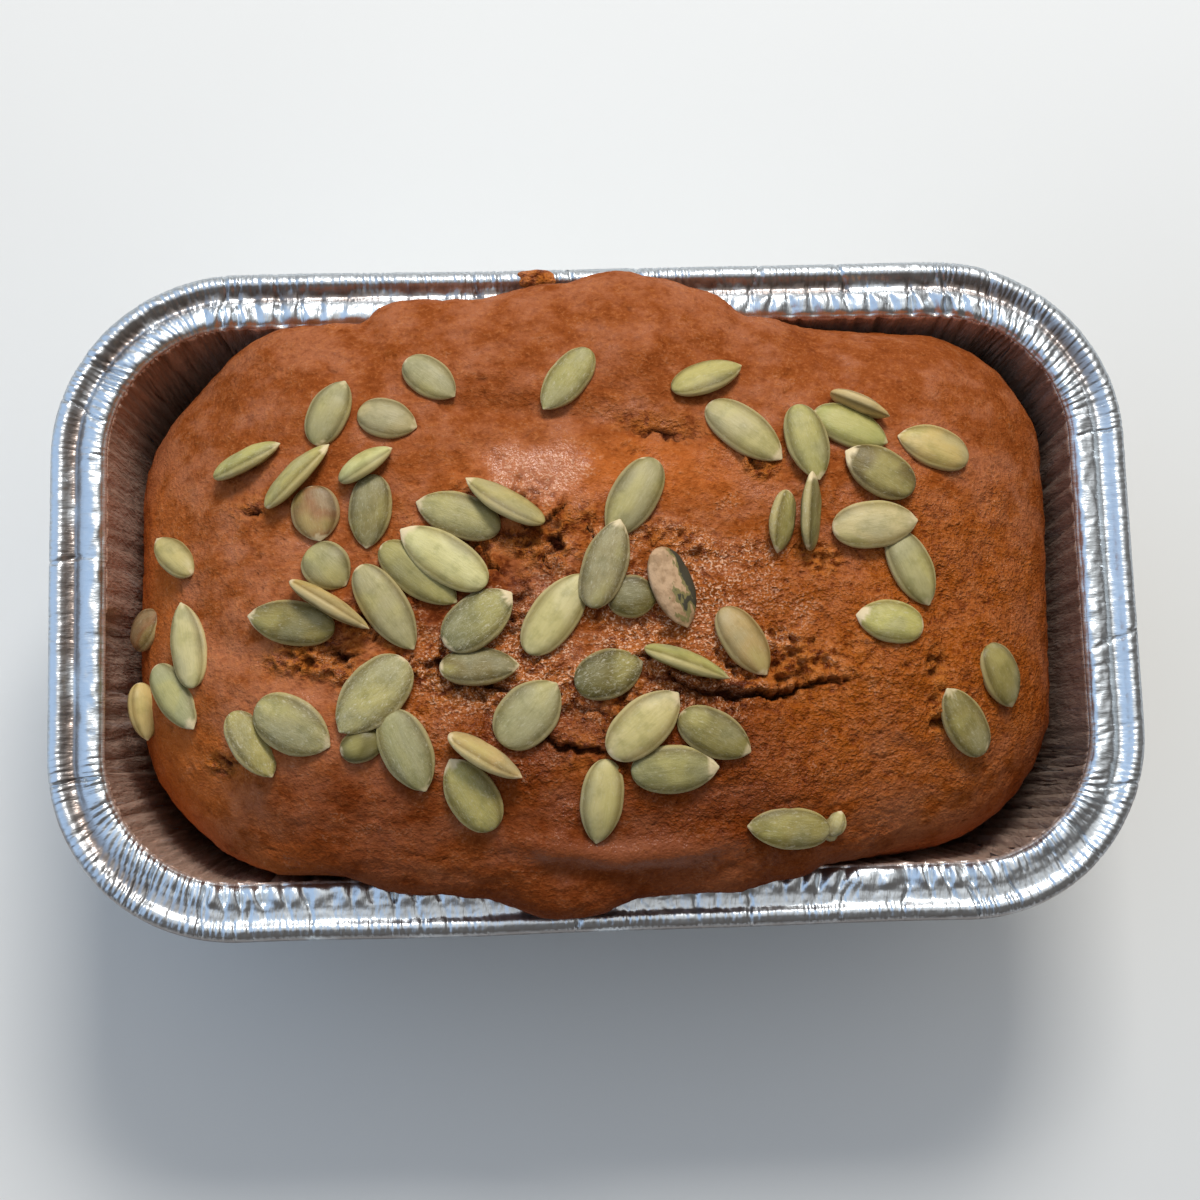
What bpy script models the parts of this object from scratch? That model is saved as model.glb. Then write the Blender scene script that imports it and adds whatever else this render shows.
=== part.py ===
"""Pumpkin bread: a domed mini loaf topped with pumpkin seeds, in its own foil pan.

Metres, +Z up. The origin is the middle of the pan's base, +X runs along the loaf, and
the near long side is the one at -Y.
"""

import math

import bmesh
import bpy
from mathutils import Matrix, Vector, noise
from mathutils.bvhtree import BVHTree

MM = 0.001

# The pan, measured over its rim. The real foil is 0.1 mm; the solid is given some body.
RIM_LENGTH = 155.6 * MM
RIM_WIDTH = 95.6 * MM
RIM_CORNER = 26.6 * MM
PAN_HEIGHT = 51.0 * MM
BASE_LENGTH = 126.0 * MM
BASE_WIDTH = 68.0 * MM
BASE_CORNER = 16.0 * MM
BASE_FILLET = 1.6 * MM
FOIL = 0.5 * MM
FLUTE_DEPTH = 0.3 * MM
# Inset from the rim's outer line and drop from its top: inner ridge, valley, bead, hem.
FLANGE = (
    (7.6, 1.1),
    (6.3, 0.0),
    (4.9, 0.1),
    (3.8, 1.2),
    (2.6, 1.2),
    (1.7, 0.0),
    (0.8, 0.1),
    (0.3, 1.1),
    (0.0, 2.7),
)
PAN_CORNER_STEPS = 9
PAN_LONG_STEPS = 22
PAN_SHORT_STEPS = 8

# The loaf. Heights of the crust's edge are measured from the pan's rim.
CLEARANCE = 1.0 * MM
FOOT_HEIGHT = 3.6 * MM
FOOT_ROUNDING = 2.5 * MM
NECK_DROP = 2.2 * MM
THROAT_RISE = 1.0 * MM
LIP_OVER_RIM = 0.75 * MM
LIP_START = 1.5 * MM
LIP_ROUNDING = 0.6 * MM
CROWN = 14.5 * MM
CROWN_HALF_LENGTH = 24.0 * MM
DOME_FALL_LONG = 9.0 * MM
DOME_FALL_WIDE = 4.0 * MM
SHOULDER = 0.6
SIDE_FULLNESS = 2.2
END_FULLNESS = 1.8
CRUST_RINGS = 14
RING_CROWDING = 1.35
LOAF_CORNER_STEPS = 10
LOAF_LONG_STEPS = 30
LOAF_SHORT_STEPS = 10
# Height of the crust's edge along each long side, as (x, height) in millimetres.
EDGE_FAR = ((-60, -14), (-45, 0), (-36, 2), (24, 2), (33, -4), (46, -7), (60, -9))
EDGE_NEAR = ((-60, -14), (-45, -1), (-34, 2), (29, 2), (42, -8), (60, -12))
# How far the crust has run out over the rim, as (x, reach) in millimetres.
REACH_FAR = ((-34, 0), (-28, 2.2), (-17, 2.4), (-6, 4.2), (6, 6), (16, 3), (23, 0))
REACH_NEAR = ((-32, 0), (-26, 2.4), (-15, 3.6), (-9, 5.8), (-2, 6), (4, 4.2), (16, 3.4), (28, 0))
# How much rounder than the pan the crust has set: far right, far left, near left, near right.
CORNER_ROUNDING = (2.0 * MM, 7.0 * MM, 9.0 * MM, 8.0 * MM)
END_GAP = 0.6 * MM

# Relief of the crust, in millimetres. Mounds are (x, y, radius, height).
LUMP_HEIGHT = 1.2
LUMP_LENGTH = 21.0
LUMP_WIDTH = 17.0
LUMP_PATTERN = 3.1
MOUNDS = (
    (6.5, 32.5, 5.5, 1.4),
    (-8.0, 15.0, 8.0, 0.7),
    (-9.0, 3.0, 7.0, -0.6),
    (-22.0, -9.0, 9.0, -0.5),
)
# Folds are (points, half width, depth); a ridge has a depth below zero.
FOLDS = (
    (((47.5, -1.5), (48.5, -10.0), (45.0, -18.0), (47.5, -26.0), (45.5, -31.5)), 2.2, 0.9),
    (((-53.0, -24.5), (-50.0, -29.5), (-44.5, -36.0)), 2.0, 0.8),
    (((-19.5, 24.5), (-7.0, 23.0), (3.5, 21.0), (13.0, 19.0)), 2.2, 0.6),
    (((26.5, 42.0), (32.0, 37.0), (36.0, 27.0)), 2.2, 1.2),
    (((-54.0, -6.5), (-46.0, -12.0), (-36.0, -14.5)), 2.2, 0.8),
    (((-13.0, -36.0), (2.0, -38.0), (17.0, -36.5)), 1.8, -0.9),
)
# Open cracks are (points, half width, depth).
CRACKS = (
    (((10.0, -15.5), (19.0, -17.2), (26.5, -16.8), (33.5, -14.8)), 0.8, 3.0),
    (((-9.0, -22.3), (-6.5, -23.6), (-3.0, -24.5), (0.5, -24.3)), 0.7, 2.6),
)
CRACK_STEPS = 8
CRACK_END_SHARE = 0.15
CRACK_FLARE = 1.4
CRACK_OVER_CRUST = 1.5 * MM

# The seeds. Lengths and places in millimetres, angles in degrees, counted from +X towards +Y.
SEED_THICKNESS = 2.5 * MM
SEED_SUNK = 0.3
SEED_TAPER = 0.3
SEED_LEVELLING = 0.4
SEED_AROUND = 8
SEED_BANDS = 5
# Each seed is (x, y, heading of its pointed end, length, width, roll on its long axis, lift).
SEEDS = (
    # along the far side
    (-23.0, 28.5, -41, 9.0, 5.6, 0, 0.0),
    (-4.0, 27.5, 232, 11.0, 5.6, 0, 0.0),
    (15.5, 27.5, 22, 11.0, 5.4, 25, 0.0),
    (20.5, 19.5, -40, 13.0, 6.4, 0, 0.0),
    (-37.0, 24.0, 66, 10.2, 5.8, 0, 0.0),
    (-29.0, 22.5, -18, 8.6, 5.8, 0, 0.0),
    # over the left
    (-48.5, 18.0, 18, 10.8, 5.6, 40, 0.0),
    (-41.5, 15.0, 43, 12.4, 5.6, 45, 0.0),
    (-32.0, 16.0, 31, 8.6, 5.0, 45, 0.0),
    (-39.0, 9.5, -81, 7.9, 6.8, 0, 0.0),
    (-31.5, 9.5, -97, 10.4, 6.0, 0, 0.0),
    (-37.5, 2.0, -47, 7.4, 6.6, 0, 0.0),
    (-42.5, -5.5, 169, 12.5, 6.2, 0, 0.0),
    (-37.0, -3.5, -33, 12.8, 5.6, 75, 0.8),
    (-59.5, 6.0, 143, 9.0, 4.6, 30, 0.0),
    (-65.0, -3.0, 25, 7.4, 5.6, 0, 0.0),
    (-57.5, -7.0, 103, 12.6, 6.0, 0, 0.0),
    (-59.5, -14.0, -50, 11.5, 5.4, 15, 0.0),
    (-64.8, -15.0, -82, 8.5, 4.6, 80, 0.0),
    # over the middle
    (-19.5, 8.5, 160, 12.2, 6.3, 0, 0.0),
    (-13.0, 10.0, 148, 12.5, 5.8, 50, 0.6),
    (-25.0, 0.5, -39, 13.2, 6.2, 0, 0.0),
    (-21.5, 2.5, 145, 14.2, 6.6, 0, 1.1),
    (-29.5, -4.0, -58, 13.8, 6.2, 0, 0.3),
    (-17.0, -6.0, 37, 11.6, 7.2, 10, 0.3),
    (-17.0, -12.5, 0, 10.9, 5.6, 20, 0.2),
    (-6.5, -5.5, 53, 13.4, 6.6, 0, 0.2),
    (4.5, 10.0, 239, 13.0, 6.6, 0, 0.0),
    (4.0, -3.5, -2, 7.0, 6.0, 0, 0.0),
    (0.5, 1.0, 70, 12.8, 6.2, 0, 1.0),
    (9.5, -2.5, -72, 11.7, 6.0, 15, 0.2),
    (19.0, -10.0, -57, 11.0, 6.0, 10, 0.0),
    (11.0, -12.8, -21, 12.3, 5.8, 65, 0.2),
    (0.5, -14.0, 18, 9.8, 6.8, 0, 0.0),
    # towards the near side
    (-33.0, -22.5, 18, 6.5, 4.5, 0, -0.2),
    (-31.5, -16.0, 226, 13.3, 8.2, 0, 0.5),
    (-27.0, -23.5, -67, 12.0, 7.0, 0, 0.2),
    (-42.5, -19.5, -29, 12.0, 7.8, 0, 0.0),
    (-48.0, -21.5, -59, 10.6, 5.8, 45, 0.0),
    (-18.5, -29.5, 119, 11.3, 6.9, 0, 0.0),
    (-16.5, -24.5, -32, 11.5, 5.8, 65, 0.5),
    (-10.5, -19.0, 46, 11.2, 8.0, 0, 0.0),
    (14.5, -22.5, -28, 11.0, 6.4, 0, 0.0),
    (5.0, -21.0, 41, 12.6, 7.0, 0, 0.6),
    (9.0, -27.0, 1, 12.0, 6.6, 0, 0.1),
    (-1.0, -31.0, -98, 11.7, 5.9, 0, 0.0),
    (24.5, -35.0, 174, 11.6, 5.8, 15, 0.0),
    # over the right
    (39.5, -7.5, 168, 9.6, 6.0, 0, 0.0),
    (43.0, 0.0, -65, 11.5, 6.1, 0, 0.0),
    (38.0, 6.0, 5, 12.2, 6.7, 0, 0.6),
    (25.0, 6.5, -102, 9.0, 5.4, 50, 0.0),
    (29.0, 8.0, 85, 11.4, 5.8, 65, 0.3),
    (35.5, 20.0, -23, 11.3, 6.0, 0, 0.1),
    (29.0, 17.5, -77, 11.3, 6.0, 0, 0.9),
    (37.0, 23.0, -26, 9.0, 5.2, 75, 0.4),
    (39.0, 13.5, 149, 11.0, 6.9, 0, 0.6),
    (47.5, 17.5, 165, 11.0, 6.3, 0, 0.0),
    (56.0, -14.5, -61, 9.8, 6.4, 0, 0.0),
    (50.0, -21.0, 123, 11.2, 6.1, 0, 0.0),
)


def between(low, high, amount):
    return low + (high - low) * amount


def smooth(amount):
    amount = min(max(amount, 0.0), 1.0)
    return amount * amount * (3.0 - 2.0 * amount)


def along(stations, x):
    """Read a curve given as (x, value) in millimetres at x, in metres, with soft joins."""
    x = x / MM
    if x <= stations[0][0]:
        return stations[0][1] * MM
    for i, ((x0, value0), (x1, value1)) in enumerate(zip(stations, stations[1:])):
        if x > x1:
            continue
        before = stations[max(i - 1, 0)]
        after = stations[min(i + 2, len(stations) - 1)]
        span = x1 - x0
        slope0 = (value1 - before[1]) / (x1 - before[0]) * span
        slope1 = (after[1] - value0) / (after[0] - x0) * span
        part = (x - x0) / span
        ease = part * part * (3.0 - 2.0 * part)
        bend = part * (1.0 - part) * ((1.0 - part) * slope0 - part * slope1)
        return (between(value0, value1, ease) + bend) * MM
    return stations[-1][1] * MM


def stations_round(corner_steps, long_steps, short_steps):
    """Places round a rounded rectangle, as (quarter, angle on its corner, part of the side after it)."""
    found = []
    for quarter, side_steps in enumerate((long_steps, short_steps, long_steps, short_steps)):
        for step in range(corner_steps):
            found.append((quarter, math.pi / 2.0 * (quarter + step / corner_steps), 0.0))
        for step in range(side_steps):
            found.append((quarter, math.pi / 2.0 * (quarter + 1), step / side_steps))
    return found


def corner_point(quarter, angle, half_length, half_width, corners):
    corner = min(corners[quarter % 4], half_length, half_width)
    sign_x = (1, -1, -1, 1)[quarter % 4]
    sign_y = (1, 1, -1, -1)[quarter % 4]
    centre = Vector((sign_x * (half_length - corner), sign_y * (half_width - corner), 0.0))
    return centre + Vector((math.cos(angle), math.sin(angle), 0.0)) * corner


def outline_point(station, half_length, half_width, corners):
    """The point of a rounded rectangle at a station, and the direction square to its edge."""
    quarter, angle, part = station
    point = corner_point(quarter, angle, half_length, half_width, corners)
    if part > 0.0:
        following = corner_point(quarter + 1, angle, half_length, half_width, corners)
        point = point.lerp(following, part)
    return point, Vector((math.cos(angle), math.sin(angle), 0.0))


def material(name, colour, roughness, metallic=0.0):
    made = bpy.data.materials.new(name)
    made.use_nodes = True
    shader = made.node_tree.nodes["Principled BSDF"]
    shader.inputs["Base Color"].default_value = (*colour, 1.0)
    shader.inputs["Roughness"].default_value = roughness
    shader.inputs["Metallic"].default_value = metallic
    made.diffuse_color = (*colour, 1.0)
    return made


def new_object(name, mesh_builder, collection, finish):
    mesh = bpy.data.meshes.new(name)
    mesh_builder.to_mesh(mesh)
    mesh_builder.free()
    made = bpy.data.objects.new(name, mesh)
    made.data.materials.append(finish)
    collection.objects.link(made)
    return made


def skin_rings(builder, rings):
    """Faces between rings of vertices, each ring running the same way round."""
    for lower, upper in zip(rings, rings[1:]):
        count = len(lower)
        for i in range(count):
            j = (i + 1) % count
            builder.faces.new((lower[i], lower[j], upper[j], upper[i]))


# The pan


def wall_size(height):
    """Half length, half width and corners of the middle of the pan's wall at a height."""
    top = PAN_HEIGHT - FLANGE[0][1] * MM
    amount = height / top
    inset = FLANGE[0][0] * MM
    return (
        between(BASE_LENGTH / 2.0, RIM_LENGTH / 2.0 - inset, amount),
        between(BASE_WIDTH / 2.0, RIM_WIDTH / 2.0 - inset, amount),
        (between(BASE_CORNER, RIM_CORNER - inset, amount),) * 4,
    )


def pan_rings(stations):
    """Rings of points from the base's flat up the wall and out over the flange."""
    base = FOIL / 2.0
    rings = []
    for inset, height, flute in (
        (BASE_FILLET, base, 0.0),
        (0.0, base + BASE_FILLET, 0.0),
        (0.0, PAN_HEIGHT * 0.5, 1.0),
        (0.0, PAN_HEIGHT * 0.9, 1.0),
    ):
        ring = []
        for index, station in enumerate(stations):
            point, outward = outline_point(station, *wall_size(height))
            wave = flute * FLUTE_DEPTH * (-1) ** index
            ring.append(point - outward * (inset + wave) + Vector((0.0, 0.0, height)))
        rings.append(ring)
    for inset, drop in FLANGE:
        inset = inset * MM + FOIL / 2.0
        half_length = RIM_LENGTH / 2.0 - inset
        half_width = RIM_WIDTH / 2.0 - inset
        height = PAN_HEIGHT - FOIL / 2.0 - drop * MM
        ring = []
        for station in stations:
            point, _ = outline_point(station, half_length, half_width, (RIM_CORNER - inset,) * 4)
            ring.append(point + Vector((0.0, 0.0, height)))
        rings.append(ring)
    return rings


def make_foil_pan(collection):
    builder = bmesh.new()
    stations = stations_round(PAN_CORNER_STEPS, PAN_LONG_STEPS, PAN_SHORT_STEPS)
    rings = [[builder.verts.new(point) for point in ring] for ring in pan_rings(stations)]
    builder.faces.new(list(reversed(rings[0])))
    skin_rings(builder, rings)
    bmesh.ops.recalc_face_normals(builder, faces=builder.faces)
    foil = material("pan foil", (0.80, 0.81, 0.82), 0.28, 1.0)
    pan = new_object("foil_pan", builder, collection, foil)
    thicken = pan.modifiers.new("foil thickness", "SOLIDIFY")
    thicken.thickness = FOIL
    thicken.offset = 0.0
    thicken.use_even_offset = False
    pan.data.shade_smooth()
    return pan


# The bread


def edge_height(x, y):
    """Height of the crust's edge, read from the near and far sides and mixed at the ends."""
    far = smooth(0.5 + y / (RIM_WIDTH * 0.6))
    return PAN_HEIGHT + between(along(EDGE_NEAR, x), along(EDGE_FAR, x), far)


def beside_wall(station, height, outset):
    """A point of the loaf's side at a height, the outset being measured from the pan's wall."""
    risen = min(height / PAN_HEIGHT, 1.0)
    half_length, half_width, corners = wall_size(risen * PAN_HEIGHT)
    corners = [corner + more * risen for corner, more in zip(corners, CORNER_ROUNDING)]
    point, outward = outline_point(station, half_length - END_GAP * risen, half_width, corners)
    return point + outward * outset + Vector((0.0, 0.0, height))


def loaf_column(station):
    """Points up the side of the loaf at one station, from its base to the crust's edge."""
    guide = beside_wall(station, PAN_HEIGHT, 0.0)
    _, outward = outline_point(station, *wall_size(PAN_HEIGHT))
    top = edge_height(guide.x, guide.y)
    on_long_side = abs(outward.y) > 0.99
    reach = along(REACH_FAR if outward.y > 0.0 else REACH_NEAR, guide.x) if on_long_side else 0.0
    run = smooth(reach / LIP_START)
    neck = min(top - NECK_DROP, PAN_HEIGHT - LIP_ROUNDING)
    under = PAN_HEIGHT + LIP_OVER_RIM
    throat = beside_wall(station, neck + THROAT_RISE, -CLEARANCE)
    edge = beside_wall(station, top, -CLEARANCE)
    lip = beside_wall(station, under, max(reach - LIP_ROUNDING, LIP_ROUNDING / 2.0))
    return [
        beside_wall(station, FOIL + CLEARANCE / 2.0, -CLEARANCE - FOOT_ROUNDING),
        beside_wall(station, FOOT_HEIGHT, -CLEARANCE),
        beside_wall(station, neck / 2.0, -CLEARANCE),
        beside_wall(station, neck, -CLEARANCE),
        throat.lerp(beside_wall(station, under, 0.0), run),
        throat.lerp(edge, 0.6).lerp(lip, run),
        edge.lerp(beside_wall(station, top, reach), run),
    ]


def dome_height(x, y):
    """The crown's height, before its shoulders round down to the crust's edge."""
    fall = DOME_FALL_LONG * (x / (RIM_LENGTH / 2.0)) ** 2 + DOME_FALL_WIDE * (y / (RIM_WIDTH / 2.0)) ** 2
    return PAN_HEIGHT + CROWN - fall + relief(x, y)


def distance_to_path(x, y, points):
    """Distance from a point to a line through points, all in millimetres."""
    place = Vector((x, y))
    nearest = math.inf
    for start, end in zip(points, points[1:]):
        start, end = Vector(start), Vector(end)
        span = end - start
        part = min(max((place - start).dot(span) / span.length_squared, 0.0), 1.0)
        nearest = min(nearest, (start + span * part - place).length)
    return nearest


def relief(x, y):
    """Low lumps, mounds and folds of the crust, as a height at x and y."""
    x, y = x / MM, y / MM
    height = LUMP_HEIGHT * noise.noise(Vector((x / LUMP_LENGTH, y / LUMP_WIDTH, LUMP_PATTERN)))
    for mound_x, mound_y, radius, rise in MOUNDS:
        height += rise * math.exp(-((x - mound_x) ** 2 + (y - mound_y) ** 2) / radius**2)
    for points, half_width, depth in FOLDS:
        height -= depth * math.exp(-((distance_to_path(x, y, points) / half_width) ** 2))
    return height * MM


def crust_point(edge, station, inward):
    """A point of the top crust, from its edge at inward 0 to the crown line at 1."""
    crown, outward = outline_point(station, CROWN_HALF_LENGTH, 0.0, (0.0,) * 4)
    fullness = between(END_FULLNESS, SIDE_FULLNESS, outward.y**2)
    left = 1.0 - min(inward / SHOULDER, 1.0)
    rise = (1.0 - left**fullness) ** (1.0 / fullness)
    point = edge.lerp(crown, inward)
    point.z = between(edge.z, dome_height(point.x, point.y), rise)
    return point


def bread_builder():
    """The bread alone, as a closed mesh in a bmesh."""
    builder = bmesh.new()
    stations = stations_round(LOAF_CORNER_STEPS, LOAF_LONG_STEPS, LOAF_SHORT_STEPS)
    columns = []
    for station in stations:
        column = loaf_column(station)
        edge = column[-1]
        for ring in range(1, CRUST_RINGS + 1):
            inward = (ring / CRUST_RINGS) ** RING_CROWDING
            column.append(crust_point(edge, station, inward))
        columns.append([builder.verts.new(point) for point in column])
    rings = list(zip(*columns))
    builder.faces.new(list(reversed(rings[0])))
    skin_rings(builder, rings)
    bmesh.ops.remove_doubles(builder, verts=rings[-1], dist=1e-6)
    bmesh.ops.dissolve_degenerate(builder, edges=builder.edges, dist=1e-7)
    bmesh.ops.recalc_face_normals(builder, faces=builder.faces)
    return builder


def surface_at(tree, x, y):
    """Where a plumb line at x and y meets the bread, and the surface's direction there."""
    found, normal, _, _ = tree.ray_cast(Vector((x, y, 1.0)), Vector((0.0, 0.0, -1.0)))
    return found, normal


def add_seed(tree, seed, collection, finish):
    """One seed: a flattened ball drawn out to a point at one end, laid on the bread."""
    x, y, heading, length, width, roll, lift = seed
    builder = bmesh.new()
    bmesh.ops.create_uvsphere(builder, u_segments=SEED_AROUND, v_segments=SEED_BANDS, radius=0.5)
    for vertex in builder.verts:
        point = vertex.co
        end = 2.0 * point.z
        taper = 1.0 - SEED_TAPER * max(end, 0.0) ** 2
        vertex.co = (
            end * length * MM / 2.0,
            point.x * taper * width * MM,
            point.y * taper * SEED_THICKNESS,
        )
    place, normal = surface_at(tree, x * MM, y * MM)
    up = (normal + Vector((0.0, 0.0, SEED_LEVELLING))).normalized()
    tip = Vector((math.cos(math.radians(heading)), math.sin(math.radians(heading)), 0.0))
    tip = (tip - up * tip.dot(up)).normalized()
    across = up.cross(tip)
    turn = Matrix((tip, across, up)).transposed() @ Matrix.Rotation(math.radians(roll), 3, "X")
    thick = SEED_THICKNESS * math.cos(math.radians(roll)) + width * MM * math.sin(math.radians(roll))
    place += up * ((0.5 - SEED_SUNK) * thick + lift * MM)
    builder.transform(Matrix.Translation(place) @ turn.to_4x4())
    bmesh.ops.recalc_face_normals(builder, faces=builder.faces)
    return new_object("seed", builder, collection, finish)


def add_crack(tree, crack, collection, finish):
    """A wedge along a path, widest in its middle, that opens the crust."""
    points, half_width, depth = crack
    builder = bmesh.new()
    points = [Vector((*point, 0.0)) * MM for point in points]
    reach = [0.0]
    for start, end in zip(points, points[1:]):
        reach.append(reach[-1] + (end - start).length)
    rings = []
    for step in range(CRACK_STEPS + 1):
        part = step / CRACK_STEPS
        wanted = min(part * reach[-1], reach[-1] - 1e-9)
        leg = max(i for i, distance in enumerate(reach[:-1]) if distance <= wanted)
        direction = (points[leg + 1] - points[leg]).normalized()
        place = points[leg] + direction * (wanted - reach[leg])
        side = Vector((-direction.y, direction.x, 0.0)) * half_width * MM
        opening = between(CRACK_END_SHARE, 1.0, math.sin(math.pi * part))
        found, _ = surface_at(tree, place.x, place.y)
        above = found + Vector((0.0, 0.0, CRACK_OVER_CRUST))
        below = found - Vector((0.0, 0.0, depth * MM * opening))
        side *= opening * CRACK_FLARE
        ring = (above + side, above - side, below)
        rings.append([builder.verts.new(point) for point in ring])
    builder.faces.new(rings[0])
    skin_rings(builder, rings)
    builder.faces.new(list(reversed(rings[-1])))
    bmesh.ops.recalc_face_normals(builder, faces=builder.faces)
    return new_object("crack", builder, collection, finish)


def apply_boolean(target, operation, operands):
    """Join or cut with everything in a collection, then remove the collection's objects."""
    step = target.modifiers.new(operation.lower(), "BOOLEAN")
    step.operation = operation
    step.operand_type = "COLLECTION"
    step.collection = operands
    step.solver = "EXACT"
    bpy.context.view_layer.update()
    graph = bpy.context.evaluated_depsgraph_get()
    result = bpy.data.meshes.new_from_object(target.evaluated_get(graph))
    target.modifiers.remove(step)
    target.data = result
    for operand in list(operands.objects):
        bpy.data.objects.remove(operand, do_unlink=True)
    bpy.data.collections.remove(operands)


def make_loaf(collection):
    crust = material("baked crust", (0.36, 0.12, 0.035), 0.5)
    green = material("pumpkin seed", (0.26, 0.25, 0.10), 0.45)
    builder = bread_builder()
    tree = BVHTree.FromBMesh(builder)
    loaf = new_object("loaf", builder, collection, crust)
    cracks = bpy.data.collections.new("cracks")
    bpy.context.scene.collection.children.link(cracks)
    for crack in CRACKS:
        add_crack(tree, crack, cracks, crust)
    apply_boolean(loaf, "DIFFERENCE", cracks)
    seeds = bpy.data.collections.new("seeds")
    bpy.context.scene.collection.children.link(seeds)
    for seed in SEEDS:
        add_seed(tree, seed, seeds, green)
    apply_boolean(loaf, "UNION", seeds)
    loaf.data.shade_smooth()
    loaf.data.set_sharp_from_angle(angle=math.radians(40.0))
    return loaf


def main():
    for old in list(bpy.data.objects):
        bpy.data.objects.remove(old, do_unlink=True)
    collection = bpy.data.collections.new("pumpkin bread")
    bpy.context.scene.collection.children.link(collection)
    make_foil_pan(collection)
    make_loaf(collection)


if __name__ == "__main__":
    main()
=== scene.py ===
"""Pumpkin bread: a domed mini loaf topped with pumpkin seeds, in its own foil pan.

Lengths are millimetres until a mesh is made, +Z is up, +X runs along the loaf, and the
near long side is the one at -Y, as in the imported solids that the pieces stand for.
"""

import math

import bmesh
import bpy
import numpy as np
from bpy.props import FloatProperty, FloatVectorProperty, IntProperty, PointerProperty
from mathutils import Matrix, Vector, noise
from mathutils.bvhtree import BVHTree


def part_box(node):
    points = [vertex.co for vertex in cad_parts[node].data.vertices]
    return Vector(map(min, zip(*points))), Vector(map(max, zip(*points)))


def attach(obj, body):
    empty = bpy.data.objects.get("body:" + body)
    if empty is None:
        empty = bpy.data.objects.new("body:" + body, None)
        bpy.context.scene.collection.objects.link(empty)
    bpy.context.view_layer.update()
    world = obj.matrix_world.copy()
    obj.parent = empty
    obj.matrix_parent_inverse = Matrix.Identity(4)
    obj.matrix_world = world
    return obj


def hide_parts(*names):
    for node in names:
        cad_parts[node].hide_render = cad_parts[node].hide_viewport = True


bl_info = {
    "name": "Pumpkin Bread",
    "version": (1, 0, 0),
    "blender": (4, 5, 0),
    "location": "3D View > Sidebar > Bread",
    "description": "Makes a seed-topped pumpkin loaf in its foil pan",
    "category": "Add Mesh",
}

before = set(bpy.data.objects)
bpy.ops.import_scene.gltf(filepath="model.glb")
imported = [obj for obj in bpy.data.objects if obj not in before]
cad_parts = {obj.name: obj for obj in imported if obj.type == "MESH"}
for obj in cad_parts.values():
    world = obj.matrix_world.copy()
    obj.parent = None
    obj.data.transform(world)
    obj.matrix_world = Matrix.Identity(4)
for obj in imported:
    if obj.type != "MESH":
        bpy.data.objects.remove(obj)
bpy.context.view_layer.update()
PAN_LOW, PAN_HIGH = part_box("foil_pan")

MM = 0.001

# The pan. Its base and wall are as in its solid, and its rim has a thin sheet's finer profile.
RIM_LENGTH = (PAN_HIGH.x - PAN_LOW.x) / MM
RIM_WIDTH = (PAN_HIGH.y - PAN_LOW.y) / MM
PAN_HEIGHT = PAN_HIGH.z / MM
RIM_CORNER = 26.6
RIM_ROUND = 2.0 * (RIM_LENGTH + RIM_WIDTH) - (8.0 - 2.0 * math.pi) * RIM_CORNER
BASE_LENGTH = 126.0
BASE_WIDTH = 68.0
BASE_CORNER = 16.0
BASE_FILLET = 1.6
# Inset from the rim's outer line and drop from its top: ridge, valley, bead, hem, rolled edge.
FLANGE = (
    (7.6, 1.1),
    (6.8, 0.1),
    (5.5, 0.0),
    (4.3, 0.4),
    (3.3, 1.15),
    (2.3, 0.85),
    (1.1, 0.0),
    (-0.3, 0.6),
    (-0.6, 1.9),
    (-0.4, 2.7),
    (0.2, 3.2),
    (0.9, 2.7),
)
HEM_POINTS = 4
WALL_INSET, WALL_DROP = FLANGE[0]
RIDGE_INSET = 5.7
VALLEY_INSET = 3.2
# The valley's painted shade and reflection, on the far and left sides: its inset and width.
VALLEY_SHADE_INSET = 2.7
VALLEY_SHADE_WIDTH = 1.35
GREASE_START = 7.1
LEFT_STEP_Y = -1.0
LEFT_STEP_DEPTH = 1.3
# How far the rim's outer line wanders sideways and up, over what length.
SWAY, SWAY_LENGTH = 0.35, 34.0
LIFT, LIFT_LENGTH = 0.30, 41.0
CRUMPLE_SIZE, CRUMPLE_DEPTH = (1.9, 1.9, 1.4), 0.26
DENT_SIZE, DENT_DEPTH = 3.5, 0.10
# Folds are (share of the crimps' pitch, width, place of the draw, share of folds that are missing).
RIDGE_CRIMPS = (1.0, 0.32, 3.0, 0.05)
RIDGE_CRIMP_FOOT = 0.85
CORNER_FOLDS = (0.42, 0.24, 8.0, 0.10)
LONG_CREASES = (2.6, 0.20, 15.0, 0.45)
BEAD_WRINKLES = (0.30, 0.20, 17.0, 0.10)
# The wall's flutes and finer folds have a pitch in millimetres instead.
FLUTES = (3.1, 0.35, 21.0, 0.2)
FINE_FLUTES = (1.25, 0.25, 25.0, 0.1)
FLUTE_SLANT = 0.10
CHANCE_TURNS = (12.9898, 78.233)
CHANCE_SPREAD = 4375.85
WALL_RINGS = 9

# The loaf, as its solid is made. Heights of the crust's edge are measured from the rim.
SOLID_FOIL = 0.5
CLEARANCE = 1.0
FOOT_HEIGHT = 3.6
FOOT_ROUNDING = 2.5
NECK_DROP = 2.2
THROAT_RISE = 1.0
LIP_OVER_RIM = 0.75
LIP_START = 1.5
LIP_ROUNDING = 0.6
CROWN_HALF_LENGTH = 24.0
DOME_FALL_LONG = 9.0
DOME_FALL_WIDE = 4.0
SHOULDER = 0.6
SIDE_FULLNESS = 2.2
END_FULLNESS = 1.8
EDGE_FAR = ((-60, -14), (-45, 0), (-36, 2), (24, 2), (33, -4), (46, -7), (60, -9))
EDGE_NEAR = ((-60, -14), (-45, -1), (-34, 2), (26, 2), (34, 0), (44, -8), (60, -12))
REACH_FAR = ((-34, 0), (-28, 2.2), (-17, 2.4), (-6, 4.2), (6, 6), (16, 3), (23, 0))
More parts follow.
